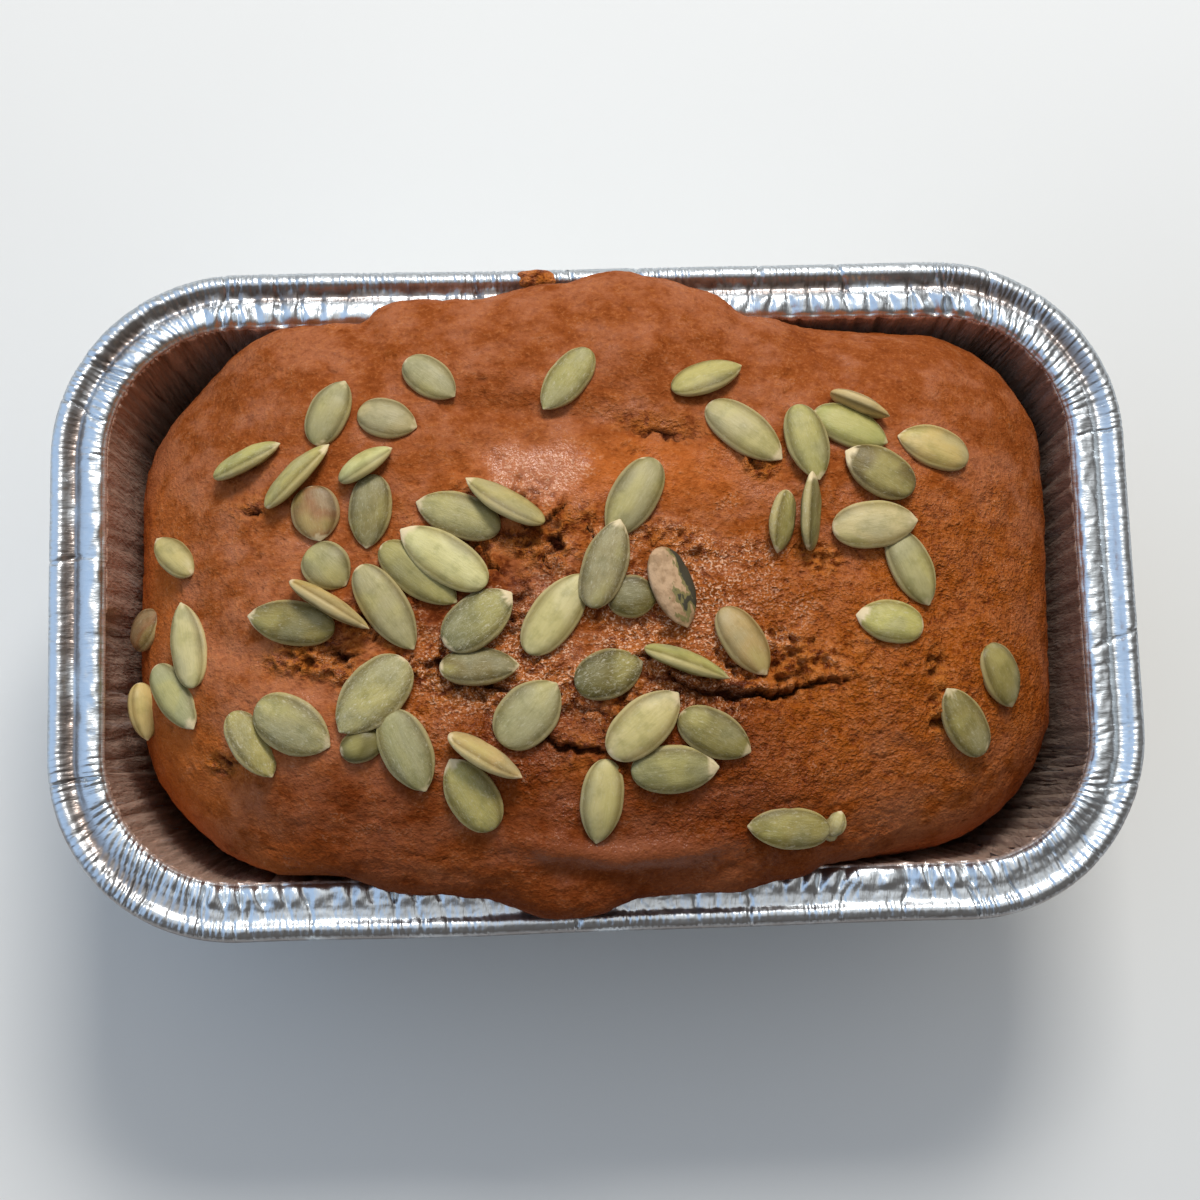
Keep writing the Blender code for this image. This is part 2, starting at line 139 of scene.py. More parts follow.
REACH_NEAR = (
    (-41, 0), (-34, 0.9), (-26, 2.2), (-15, 3.6), (-9, 5.8), (-2, 6),
    (4, 4.2), (16, 3.2), (24, 1.9), (31, 0.7), (37, 0),
)
CORNER_ROUNDING = (2.0, 7.0, 9.0, 8.0)
END_GAP = 0.6
LUMP_LENGTH = 21.0
LUMP_WIDTH = 17.0
LUMP_PATTERN = 3.1
# Mounds are (x, y, radius, height).
MOUNDS = (
    (6.5, 32.5, 5.5, 1.4),
    (-8.0, 15.0, 8.0, 0.7),
    (-9.0, 3.0, 7.0, -0.6),
    (-22.0, -9.0, 9.0, -0.5),
)
# Folds are (points, half width, depth); a ridge has a depth below zero.
FOLDS = (
    (((47.5, -1.5), (48.5, -10.0), (45.0, -18.0), (47.5, -26.0), (45.5, -31.5)), 2.2, 0.9),
    (((-53.0, -24.5), (-50.0, -29.5), (-44.5, -36.0)), 2.0, 0.8),
    (((-19.5, 24.5), (-7.0, 23.0), (3.5, 21.0), (13.0, 19.0)), 2.0, 1.0),
    (((26.5, 42.0), (32.0, 37.0), (36.0, 27.0)), 2.2, 1.2),
    (((-54.0, -6.5), (-46.0, -12.0), (-36.0, -14.5)), 2.2, 0.8),
    (((-13.0, -36.0), (2.0, -38.0), (17.0, -36.5)), 1.8, -0.9),
)

# Open cracks, left to right, are (points, half width, depth, height of the torn far lip).
CRACKS = (
    (
        ((9.0, -15.2), (14.0, -16.8), (19.0, -17.4), (25.0, -17.3), (29.5, -15.6), (34.0, -15.2)),
        0.45,
        3.0,
        1.0,
    ),
    (((-9.0, -22.3), (-6.5, -23.6), (-3.0, -24.5), (0.5, -24.3)), 0.45, 2.6, 0.4),
    (((-10.0, -22.0), (-8.2, -22.7)), 0.9, 2.0, 0.0),
    (((-49.8, 10.6), (-46.6, 10.3)), 0.4, 1.8, 0.2),
    (((4.0, 20.6), (7.0, 20.2), (9.5, 19.4), (13.5, 19.2)), 0.35, 0.9, 0.2),
    (((-17.0, -14.5), (-13.0, -15.5)), 0.6, 1.4, 0.2),
    (((-24.5, -11.5), (-20.0, -12.5)), 0.7, 1.5, 0.1),
    (((-38.5, -9.6), (-35.5, -10.6), (-33.5, -10.0)), 0.45, 1.4, 0.3),
    (((-53.6, -23.2), (-52.4, -24.6)), 0.5, 1.0, 0.3),
    (((-7.5, 5.2), (-5.0, 3.6)), 0.6, 1.6, 0.2),
)
# Places where the skin has torn open into rough crumb, as (x, y, radius along, radius across).
TEARS = (
    (-8.0, 4.0, 6.5, 3.6),
    (-15.5, -14.5, 9.0, 7.5),
    (-30.0, -7.5, 5.0, 3.5),
    (-41.0, -10.0, 7.5, 3.2),
    (21.0, -13.5, 13.0, 3.2),
    (22.5, 14.5, 4.0, 3.0),
    (8.5, 4.5, 6.0, 4.0),
    (30.0, 1.5, 4.5, 3.0),
    (-53.0, -24.0, 2.2, 1.8),
    (46.5, -18.0, 2.5, 8.0),
    (-1.0, -26.0, 8.0, 2.2),
)
# The moist, open-grained middle and the tight shiny skin, as (x, y, radius along, radius across).
MOIST = ((22.0, -14.0, 32.0, 26.0), (-14.0, -16.0, 16.0, 14.0), (46.0, -8.0, 20.0, 26.0))
SKINNED = ((-8.5, 14.5, 8.5, 5.0), (3.0, -38.0, 16.0, 2.6))
# Crust that is darker, partly well soaked and partly painted shade on the near slope; that is paler, which
# on the low left slope is painted light; that is rugged; and where painted glints gather and the coat is
# glossier.
DEEP_AND_SHADED = (
    (-3.0, -36.0, 22.0, 10.0),
    (10.0, -24.0, 17.0, 9.0),
    (-12.0, -24.0, 10.0, 8.0),
    (-34.0, -33.0, 18.0, 9.0),
    (-20.0, -3.0, 13.0, 6.0),
    (14.0, -34.0, 20.0, 8.0),
)
# Paler crust; on the low left slope, which faces away from the window, it is painted light.
PALE_AND_LIT = (
    (-60.0, -24.0, 9.0, 10.0),
    (-44.0, -38.0, 8.0, 3.5),
    (-64.0, 2.0, 6.0, 16.0),
    (2.0, 14.0, 22.0, 5.0),
)
RUGGED = (
    (-7.0, 1.0, 20.0, 11.0),
    (-22.0, -10.0, 17.0, 9.0),
    (4.0, -16.0, 15.0, 7.0),
    (24.0, -13.0, 12.0, 5.0),
)
# Where painted glints gather and the gloss coat is stronger.
SPARKLING = ((9.0, -6.0, 17.0, 14.0), (-12.0, -12.0, 18.0, 12.0), (-8.0, 14.0, 8.0, 4.0))
# The overhanging fold near the near edge.
LEDGE = ((-13.0, -37.4), (2.0, -39.6), (17.0, -38.0))
# The crumb: the length of its forms, and how deep they are as a share of the crumb's height.
RAGGED_SIZE = 5.0
COARSE_SIZE = 1.7
MEDIUM_SIZE = 0.95
LUMP_SIZE, LUMP_DEPTH = (2.8, 2.4, 2.6), 0.55
RIFT_SIZE, RIFT_WIDTH, RIFT_DEPTH = (6.0, 4.2, 5.0), 0.055, 1.3
RIFT_LIP_PLACE, RIFT_LIP_WIDTH, RIFT_LIP_HEIGHT = 0.13, 0.07, 0.5
PIT_SIZE, PIT_DEPTH = 1.15, 0.35

# The darker edge: its width as a share of the way to the crown, and how dark the ends and far slope are. It
# is partly the crust's own darker rim and partly painted shade, full on the near slope and over the far
# slope.
EDGE_BAND = 0.22
END_DARKNESS = 0.40
FAR_SLOPE_SHADE = 0.35

# The drip on the far rim: its middle, measured from the rim's height, its half sizes and its depth below.
DRIP_PLACE = (-7.4, 46.6, -0.2)
DRIP_SIZE = (2.7, 1.6, 0.9)
DRIP_DEPTH = 1.0
DRIP_AROUND = 64
DRIP_RINGS = 20
DRIP_TOP = 0.06

# The seeds: how they lie, what form they have, as shares of their size, and how far they differ.
SEED_SUNK = 0.3
SEED_LEVELLING = 0.4
SEED_TAPER = 0.24
SEED_BODY = 0.96
SEED_BLUNTNESS = 2.5
SEED_NUB, NUB_PLACE, NUB_LENGTH = 0.15, 0.88, 0.12
FULL_WIDTH = 4.4
BEND_SPREAD = 0.22
TWIST_SPREAD = 0.06
TONE_RANGE = (0.83, 1.03)
HUE_RANGE = (0.95, 1.05)
# One blunt end in three has a pale patch.
BLUNT_PATCHES = (0.0, 0.0, 0.8)
# Each seed reads the noise of its skin this far along from the seed before it.
SKIN_SPACING = 37.0
# Tones are linear colours of their skins.
TONES = {
    "dark": (0.185, 0.145, 0.042),
    "olive": (0.270, 0.220, 0.066),
    "moss": (0.285, 0.250, 0.090),
    "green": (0.395, 0.340, 0.112),
    "sage": (0.425, 0.375, 0.158),
    "grey": (0.375, 0.325, 0.148),
    "khaki": (0.475, 0.400, 0.175),
    "bright": (0.455, 0.400, 0.132),
    "pale": (0.610, 0.530, 0.240),
    "cream": (0.640, 0.455, 0.170),
    "straw": (0.510, 0.395, 0.160),
    "tan": (0.490, 0.330, 0.130),
    "brown": (0.320, 0.165, 0.066),
}
# Each seed is (x, y, heading of its pointed end, length, width, roll, lift, tone, wrinkling, pale tip).
SEEDS = (
    # along the far side
    (-23.0, 28.5, -41, 9.0, 5.6, 0, 0.0, "grey", 0.2, 0.1),
    (-4.0, 27.5, 232, 11.0, 5.6, 0, 0.0, "green", 0.6, 0.0),
    (15.5, 27.5, 22, 11.0, 5.4, -25, 0.0, "green", 0.3, 0.2),
    (20.5, 19.5, -40, 13.0, 6.4, 0, 0.0, "khaki", 0.2, 0.8),
    (-37.0, 24.0, 66, 10.2, 5.8, 0, 0.0, "grey", 0.2, 0.1),
    (-29.0, 22.5, -18, 8.6, 5.8, 0, 0.0, "khaki", 0.2, 0.4),
    # over the left
    (-48.5, 18.0, 18, 10.8, 5.6, -40, 0.0, "green", 0.6, 0.3),
    (-41.5, 15.0, 43, 12.4, 5.6, -45, 0.0, "bright", 0.3, 0.8),
    (-32.0, 16.0, 31, 8.6, 5.0, -45, 0.0, "pale", 0.1, 0.4),
    (-39.0, 9.5, -81, 7.9, 6.8, 0, 0.0, "brown", 0.2, 0.5),
    (-31.5, 9.5, -97, 10.4, 6.0, 0, 0.0, "moss", 0.5, 0.5),
    (-37.5, 2.0, -47, 7.4, 6.6, 0, 0.0, "grey", 0.2, 0.3),
    (-42.5, -5.5, 169, 12.5, 6.2, 0, 0.0, "olive", 0.4, 0.7),
    (-37.0, -3.5, -33, 12.8, 5.6, -75, 0.8, "cream", 0.2, 0.5),
    (-59.5, 6.0, 143, 9.0, 4.6, 30, 0.0, "straw", 0.1, 0.6),
    (-65.0, -3.0, 25, 7.4, 5.6, 0, 0.0, "brown", 0.4, 0.0),
    (-57.5, -7.0, 103, 12.6, 6.0, 0, 0.0, "pale", 0.2, 0.4),
    (-59.5, -14.0, -50, 11.5, 5.4, -15, 0.0, "grey", 0.2, 0.6),
    (-64.8, -15.0, -82, 8.5, 4.6, -80, 0.0, "cream", 0.1, 0.2),
    # over the middle
    (-19.5, 8.5, 160, 12.2, 6.3, 0, 0.0, "sage", 0.5, 0.6),
    (-13.0, 10.0, 148, 12.5, 5.8, 50, 0.6, "straw", 0.3, 0.6),
    (-25.0, 0.5, -39, 13.2, 6.2, 0, 0.0, "moss", 0.2, 0.1),
    (-21.5, 2.5, 145, 14.2, 6.6, 0, 1.1, "pale", 0.3, 1.0),
    (-29.5, -4.0, -58, 13.8, 6.2, 0, 0.3, "grey", 0.2, 0.1),
    (-17.0, -6.0, 37, 11.6, 7.2, -10, 0.3, "moss", 0.9, 0.9),
    (-17.0, -12.5, 0, 10.9, 5.6, -20, 0.2, "dark", 0.5, 0.6),
    (-6.5, -5.5, 53, 13.4, 6.6, 0, 0.2, "pale", 0.2, 0.2),
    (4.5, 10.0, 239, 13.0, 6.6, 0, 0.0, "grey", 0.2, 0.3),
    (4.0, -3.5, -2, 7.0, 6.0, 0, 0.0, "dark", 0.5, 0.0),
    (0.5, 1.0, 70, 12.8, 6.2, 0, 1.0, "grey", 0.6, 0.8),
    (9.5, -2.5, -72, 11.7, 6.0, -15, 0.2, "tan", 0.9, 0.2),
    (19.0, -10.0, -57, 11.0, 6.0, -10, 0.0, "tan", 0.2, 0.5),
    (11.0, -12.8, -21, 12.3, 5.8, -65, 0.2, "bright", 0.3, 0.3),
    (0.5, -14.0, 18, 9.8, 6.8, 0, 0.0, "dark", 1.0, 0.1),
    # towards the near side
    (-33.0, -22.5, 18, 6.5, 4.5, 0, -0.2, "dark", 0.1, 0.0),
    (-31.5, -16.0, 226, 13.3, 8.2, 0, 0.5, "grey", 1.0, 0.0),
    (-27.0, -23.5, -67, 12.0, 7.0, 0, 0.2, "grey", 0.5, 0.2),
    (-42.5, -19.5, -29, 12.0, 7.8, 0, 0.0, "sage", 0.7, 0.3),
    (-48.0, -21.5, -59, 10.6, 5.8, -45, 0.0, "green", 0.9, 0.2),
    (-18.5, -29.5, 119, 11.3, 6.9, 0, 0.0, "green", 0.6, 0.9),
    (-16.5, -24.5, -32, 11.5, 5.8, -65, 0.5, "cream", 0.5, 0.5),
    (-10.5, -19.0, 46, 11.2, 8.0, 0, 0.0, "grey", 0.4, 0.1),
    (14.5, -22.5, -28, 11.0, 6.4, 0, 0.0, "olive", 0.4, 0.4),
    (5.0, -21.0, 41, 12.6, 7.0, 0, 0.6, "pale", 0.3, 0.6),
    (9.0, -27.0, 1, 12.0, 6.6, 0, 0.1, "moss", 0.4, 0.9),
    (-1.0, -31.0, -98, 11.7, 5.9, 0, 0.0, "khaki", 0.3, 0.1),
    (24.5, -35.0, 174, 11.6, 5.8, 15, 0.0, "olive", 0.5, 0.0),
    (31.2, -34.5, 70, 3.8, 3.0, -15, 0.1, "khaki", 1.0, 0.6),
    (30.7, -36.0, -60, 2.6, 2.2, 0, 0.0, "khaki", 1.0, 0.3),
    # over the right
    (39.5, -7.5, 168, 9.6, 6.0, 0, 0.0, "bright", 0.5, 1.0),
    (43.0, 0.0, -65, 11.5, 6.1, 0, 0.0, "khaki", 0.2, 0.2),
    (38.0, 6.0, 5, 12.2, 6.7, 0, 0.6, "pale", 0.3, 0.4),
    (25.0, 6.5, -102, 9.0, 5.4, -50, 0.0, "green", 0.8, 0.5),
    (29.0, 8.0, 85, 11.4, 5.8, 65, 0.3, "moss", 0.5, 0.9),
    (35.5, 20.0, -23, 11.3, 6.0, 0, 0.1, "bright", 0.2, 0.1),
    (29.0, 17.5, -77, 11.3, 6.0, 0, 0.9, "green", 0.3, 0.3),
    (37.0, 23.0, -26, 9.0, 5.2, -75, 0.4, "cream", 0.2, 0.2),
    (39.0, 13.5, 149, 11.0, 6.9, 0, 0.6, "dark", 0.3, 1.0),
    (47.5, 17.5, 165, 11.0, 6.3, 0, 0.0, "cream", 0.2, 0.5),
    (56.0, -14.5, -61, 9.8, 6.4, 0, 0.0, "olive", 0.2, 0.1),
    (50.0, -21.0, 123, 11.2, 6.1, 0, 0.0, "olive", 0.5, 0.4),
)
CHARRED_SEED = (9.5, -2.5)

# How finely the meshes are made.
CRUST_STEPS = (40, 190, 44)
CRUST_RINGS = 130
LIP_STEPS = 4
RING_CROWDING = 1.3
TREE_STEPS = (20, 60, 20)
TREE_RINGS = 40
RIM_STEPS = (200, 330, 116)
FLANGE_STEPS = 3
SEED_AROUND = 32
SEED_BANDS = 24
# Seeds are dropped onto the bread from this many metres up.
HIGH_ABOVE = 1.0
SHEET = 0.12

# Colours that the crust leans to: pale skin, partly painted light; tight skin; lit tops of its lumps and
# grain, painted light over the crumb's own mottling; and painted glints.
PALE_AND_LIT_SKIN = (0.48, 0.125, 0.022)
TIGHT_SKIN = (0.46, 0.165, 0.075)
LIT_LUMP_TOPS = (0.50, 0.165, 0.042)
LIT_GRAIN_TOPS = (0.54, 0.190, 0.060)
PAINTED_GLINTS = (0.78, 0.47, 0.30)
# Colours that it is multiplied with: painted shade between its lumps and grains, darker soaked crumb with
# painted shade near the near side, and at its edge the crust's darker rim with painted shade.
LUMP_SHADE = (0.45, 0.31, 0.18)
COARSE_SHADE = (0.45, 0.30, 0.18)
GRAIN_SHADE = (0.52, 0.38, 0.28)
DEEP_SHADE = (0.44, 0.30, 0.19)
EDGE_SHADE = (0.50, 0.34, 0.22)

# Colours on the seeds' skins, with painted shade on their flanks; of the charred seed's husk; and in the
# streaks of the greased foil, with a painted highlight and painted shade at the right end.
SKIN_WARM = (0.47, 0.40, 0.130)
SKIN_COOL = (0.31, 0.285, 0.165)
SKIN_MOTTLE = (0.58, 0.60, 0.48)
SKIN_STREAK = (0.60, 0.62, 0.50)
SKIN_LIGHT_STREAK = (0.58, 0.52, 0.28)
SKIN_FLANK_SHADE = (0.34, 0.28, 0.15)
SKIN_MARGIN = (0.50, 0.38, 0.17)
SKIN_TIP = (0.70, 0.56, 0.33)
SKIN_VEIN = (0.66, 0.62, 0.46)
SKIN_DUST = (0.66, 0.60, 0.44)
HUSK_DARK = (0.33, 0.20, 0.10)
HUSK_LIGHT = (0.50, 0.32, 0.18)
HUSK_GREEN = (0.20, 0.165, 0.060)
HUSK_BLACK = (0.055, 0.048, 0.030)
GREASE_STREAK = (0.40, 0.37, 0.35)
PAINTED_GREASE_GLEAM = (0.60, 0.64, 0.70)
GREASE_END_SHADE = (0.42, 0.46, 0.46)

# Where the window is and how large, in metres.
WINDOW_PLACE = (0.08, 0.56, 0.70)
WINDOW_SIZE = (0.30, 0.22)

# Bright parts of the room: direction, the cosines between which each fades in, and colour.
SKY = (
    ((-0.02, 0.45, 0.89), 0.40, 0.94, (1.0, 0.99, 0.97)),
    ((-0.82, 0.12, 0.56), 0.58, 0.92, (0.66, 0.86, 1.16)),
)

# The camera looks down on the rim's middle from this far, turned by these angles.
CAMERA_DISTANCE = 300.0
CAMERA_PITCH = 9.5
CAMERA_YAW = -2.7
CAMERA_ROLL = 1.86
PICTURE_SIZE = 1200
PIXELS_PER_MM = 6.975
SENSOR = 36.0
PICTURE_SHIFT = (2.1, -10.2)
NEAREST = 0.01
FLOOR_SIZE = 6.0
WINDOW_COLOUR = (1.0, 0.98, 0.95)


class BreadCrust(bpy.types.PropertyGroup):
    """Sizes and colours of the bread."""

    crown: FloatProperty(
        name="Crown",
        description="Height of the dome's top over the pan's rim",
        default=14.5 * MM,
        min=0.0,
        unit="LENGTH",
    )
    lumps: FloatProperty(
        name="Lumps",
        description="Height of the broad unevenness of the dome",
        default=1.2 * MM,
        unit="LENGTH",
    )
    crumb: FloatProperty(
        name="Crumb",
        description="Height of the grain that shows where the skin has torn",
        default=1.05 * MM,
        unit="LENGTH",
    )
    baked: FloatVectorProperty(
        name="Baked skin",
        description="Colour of the drier crust at the ends and the far side",
        subtype="COLOR",
        default=(0.282, 0.071, 0.014),
    )
    moist: FloatVectorProperty(
        name="Moist crumb",
        description="Colour of the open, moist middle",
        subtype="COLOR",
        default=(0.335, 0.080, 0.005),
    )
    dull: FloatVectorProperty(
        name="Dull patches",
        description="Colour of the pinkish patches of dried skin",
        subtype="COLOR",
        default=(0.390, 0.132, 0.054),
    )
    dark: FloatVectorProperty(
        name="Dark patches",
        description="Colour of the darkest baked patches",
        subtype="COLOR",
        default=(0.210, 0.045, 0.005),
    )
    torn: FloatVectorProperty(
        name="Torn crumb",
        description="Colour of crumb that has torn open",
        subtype="COLOR",
        default=(0.430, 0.130, 0.018),
    )
    # Painted shade: the near-black colour laid into cracks, rifts and pits.
    hollow_shade: FloatVectorProperty(
        name="Hollows",
        description="Colour down in cracks and pits",
        subtype="COLOR",
        default=(0.050, 0.010, 0.003),
    )


class BreadSeeds(bpy.types.PropertyGroup):
    """Sizes of the pumpkin seeds."""

    thickness: FloatProperty(
        name="Thickness",
        description="Thickness of a seed in its middle",
        default=2.5 * MM,
        unit="LENGTH",
    )
    wrinkles: FloatProperty(
        name="Wrinkles",
        description="Depth of the wrinkles on the driest seed",
        default=0.22 * MM,
        unit="LENGTH",
    )
    seed: IntProperty(
        name="Random seed",
        description="Starts the draw of each seed's bend, twist and tone",
        default=7,
    )


class BreadPan(bpy.types.PropertyGroup):
    """Sizes and colours of the foil pan."""

    crimp_pitch: FloatProperty(
        name="Crimp pitch",
        description="Distance between the crimps of the rim's ridge",
        default=3.0 * MM,
        unit="LENGTH",
    )
    crimp_depth: FloatProperty(
        name="Crimp depth",
        description="Depth of the crimps of the rim's ridge",
        default=0.78 * MM,
        unit="LENGTH",
    )
    flute_depth: FloatProperty(
        name="Flute depth",
        description="Depth of the upright flutes in the wall",
        default=0.7 * MM,
        unit="LENGTH",
    )
    foil: FloatVectorProperty(
        name="Foil",
        description="Colour of clean foil",
        subtype="COLOR",
        default=(0.69, 0.74, 0.78),
    )
    # Painted shade and reflection: the colour that the valley on the far and left sides and the hem on the
    # near side are darkened to.
    dulled: FloatVectorProperty(
        name="Dulled foil",
        description="Colour of the foil dulled by the oven in the rim's valley",
        subtype="COLOR",
        default=(0.25, 0.20, 0.175),
    )
    grease: FloatVectorProperty(
        name="Grease",
        description="Colour of the greased foil inside",
        subtype="COLOR",
        default=(0.74, 0.53, 0.41),
    )


class BreadStage(bpy.types.PropertyGroup):
    """The floor and the light."""

    floor: FloatVectorProperty(
        name="Floor",
        description="Colour of the floor",
        subtype="COLOR",
        default=(0.72, 0.72, 0.70),
    )
    window: FloatProperty(
        name="Window",
        description="Power of the light beyond the far side",
        default=6.0,
        unit="POWER",
    )
    room: FloatProperty(
        name="Room",
        description="Brightness of the room around the loaf",
        default=0.86,
    )
    dim: FloatVectorProperty(
        name="Dim side",
        description="Colour of the room on the near side and the right",
        subtype="COLOR",
        default=(0.125, 0.108, 0.096),
    )


# Plain maths on arrays


def between(low, high, amount):
    """The value that lies an amount, 0 to 1, of the way from low to high."""
    return low + (high - low) * amount


def smooth(amount):
    """An amount cut to 0 to 1, with soft ends."""
    amount = np.clip(amount, 0.0, 1.0)
    return amount * amount * (3.0 - 2.0 * amount)


def bell(distance, width):
    """1 at no distance, falling to about a third at the width."""
    return np.exp(-((distance / width) ** 2))


def along(curve, x):
    """Read a curve given as (x, value) at x, with soft joins."""
    places, values = np.array(curve, float).T
    last = len(places) - 1
    leg = np.clip(np.searchsorted(places, x) - 1, 0, last - 1)
    before = np.maximum(leg - 1, 0)
    after = np.minimum(leg + 2, last)
    span = places[leg + 1] - places[leg]
    slope0 = (values[leg + 1] - values[before]) / (places[leg + 1] - places[before]) * span
    slope1 = (values[after] - values[leg]) / (places[after] - places[leg]) * span
    part = np.clip((x - places[leg]) / span, 0.0, 1.0)
    bend = part * (1.0 - part) * ((1.0 - part) * slope0 - part * slope1)
    return between(values[leg], values[leg + 1], smooth(part)) + bend


def through(rings, steps):
    """Rings along soft curves through the rings given, without the last one."""
    found = []
    last = len(rings) - 1
    for i in range(last):
        start, end = rings[i], rings[i + 1]
        leave = (end - rings[max(i - 1, 0)]) / (2.0 if i > 0 else 1.0)
        arrive = (rings[min(i + 2, last)] - start) / (2.0 if i + 1 < last else 1.0)
        for step in range(steps):
            part = step / steps
            bend = part * (1.0 - part) * ((1.0 - part) * leave - part * arrive)
            found.append(between(start, end, smooth(part)) + bend)
    return found


def field(points, size, shift=0.0):
    """Soft noise about zero at points, with lumps of a size that may differ by axis."""
    placed = points / np.array(size) + shift
    return np.array([noise.noise(place) for place in placed.tolist()])


def beside_path(x, y, path):
    """Distance to a path, the side it is on, +1 to the left, and how far along the path, 0 to 1."""
    nearest = np.full(x.shape, np.inf)
    side = np.zeros(x.shape)
    travel = np.zeros(x.shape)
    done = 0.0
    for (start_x, start_y), (end_x, end_y) in zip(path, path[1:]):
        run_x, run_y = end_x - start_x, end_y - start_y
        span = math.hypot(run_x, run_y)
        part = np.clip(((x - start_x) * run_x + (y - start_y) * run_y) / span**2, 0.0, 1.0)
        off_x, off_y = x - start_x - part * run_x, y - start_y - part * run_y
        distance = np.hypot(off_x, off_y)
        closer = distance < nearest
        nearest = np.where(closer, distance, nearest)
        side = np.where(closer, np.sign(run_x * off_y - run_y * off_x), side)
        travel = np.where(closer, done + part * span, travel)
        done += span
    return nearest, side, travel / done


def in_patches(x, y, patches):
    """How far places lie in round patches, from 0 outside to 1 in the middle."""
    inside = np.zeros(x.shape)
    for patch_x, patch_y, radius_x, radius_y in patches:
        inside = np.maximum(inside, bell(np.hypot((x - patch_x) / radius_x, (y - patch_y) / radius_y), 1.0))
    return inside


class Stations:
    """Places round a rounded rectangle, from its right end by way of the far side."""

    def __init__(self, corner_steps, long_steps, short_steps):
        quarter, turn, part = [], [], []
        for place, side_steps in enumerate((long_steps, short_steps) * 2):
            quarter += [place] * (corner_steps + side_steps)
            turn += [place + step / corner_steps for step in range(corner_steps)]
            turn += [place + 1] * side_steps
            part += [0.0] * corner_steps + [step / side_steps for step in range(side_steps)]
        angle = np.array(turn) * math.pi / 2.0
        self.quarter = np.array(quarter)
        self.part = np.array(part)[:, None]
        self.outward = np.stack([np.cos(angle), np.sin(angle), np.zeros(len(angle))], axis=1)
        self.count = len(angle)

    def corner(self, quarter, half_length, half_width, corners):
        """Points on the arc of a corner, one at each station, where its outward direction meets it."""
        quarter = quarter % 4
        radius = np.choose(quarter, [np.broadcast_to(corner, self.count) for corner in corners])
        radius = np.minimum(radius, np.minimum(half_length, half_width))
        centre = np.zeros((self.count, 3))
        centre[:, 0] = np.choose(quarter, (1, -1, -1, 1)) * (half_length - radius)
        centre[:, 1] = np.choose(quarter, (1, 1, -1, -1)) * (half_width - radius)
        return centre + self.outward * radius[:, None]

    def outline(self, half_length, half_width, corners, height=0.0):
        """Points of a rounded rectangle whose four corners have the radii given, one at each station."""
        start = self.corner(self.quarter, half_length, half_width, corners)
        end = self.corner(self.quarter + 1, half_length, half_width, corners)
        points = np.where(self.part > 0.0, between(start, end, self.part), start)
        points[:, 2] = height
        return points


def normals_of(rings):
    """Directions square to a surface given as rings of points, outwards and upwards."""
    round_it = np.roll(rings, -1, axis=1) - np.roll(rings, 1, axis=1)
    up_it = np.gradient(rings, axis=0)
    square = np.cross(round_it, up_it)
    length = np.linalg.norm(square, axis=2, keepdims=True)
    return square / np.maximum(length, 1e-9)


# Making and dressing pieces


def ring_faces(rings, count):
    """Quads between rings of a number of points, and the face that closes the first ring."""
    here = np.arange(count)
    following = np.roll(here, -1)
    faces = [list(range(count))[::-1]]
    for ring in range(rings - 1):
        low, high = ring * count, (ring + 1) * count
        quads = np.stack([low + here, low + following, high + following, high + here], axis=1)
        faces += quads.tolist()
    return faces


def make_piece(name, points, faces, finish, **values):
    """A mesh from points in millimetres, with numbers or colours kept at its points."""
    mesh = bpy.data.meshes.new(name)
    mesh.from_pydata((points * MM).tolist(), [], faces)
    for label, value in values.items():
        kind = "FLOAT" if value.ndim == 1 else "FLOAT_VECTOR"
        kept = mesh.attributes.new(label, kind, "POINT")
        kept.data.foreach_set("value" if value.ndim == 1 else "vector", value.astype(np.float32).ravel())
    mesh.materials.append(finish)
    mesh.shade_smooth()
    piece = bpy.data.objects.new(name, mesh)
    bpy.context.scene.collection.objects.link(piece)
    return piece


def dress(piece, node):
    """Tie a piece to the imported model."""
    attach(piece, "root")
    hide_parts(node)


def weld(piece, distance):
    """Join the points of a piece that lie closer together than a distance."""
    builder = bmesh.new()
    builder.from_mesh(piece.data)
    bmesh.ops.remove_doubles(builder, verts=builder.verts, dist=distance)
    bmesh.ops.dissolve_degenerate(builder, edges=builder.edges, dist=distance)
    builder.to_mesh(piece.data)
    builder.free()


# Shader maths


class Socket:
    """An output of a shader node, which can be used in sums."""

    def __init__(self, graph, output):
        self.graph = graph
        self.output = output

    def maths(self, operation, *values, clamp=False):
        """A sum of values, each a number or a socket."""
        settings = {"operation": operation, "use_clamp": clamp}
        return self.graph.node("ShaderNodeMath", settings, dict(enumerate(values)))

    def __add__(self, other):
        return self.maths("ADD", self, other)

    __radd__ = __add__

    def __sub__(self, other):
        return self.maths("SUBTRACT", self, other)

    def __rsub__(self, other):
        return self.maths("SUBTRACT", other, self)

    def __mul__(self, other):
        return self.maths("MULTIPLY", self, other)

    __rmul__ = __mul__

    def clamped(self):
        return self.maths("ADD", self, 0.0, clamp=True)


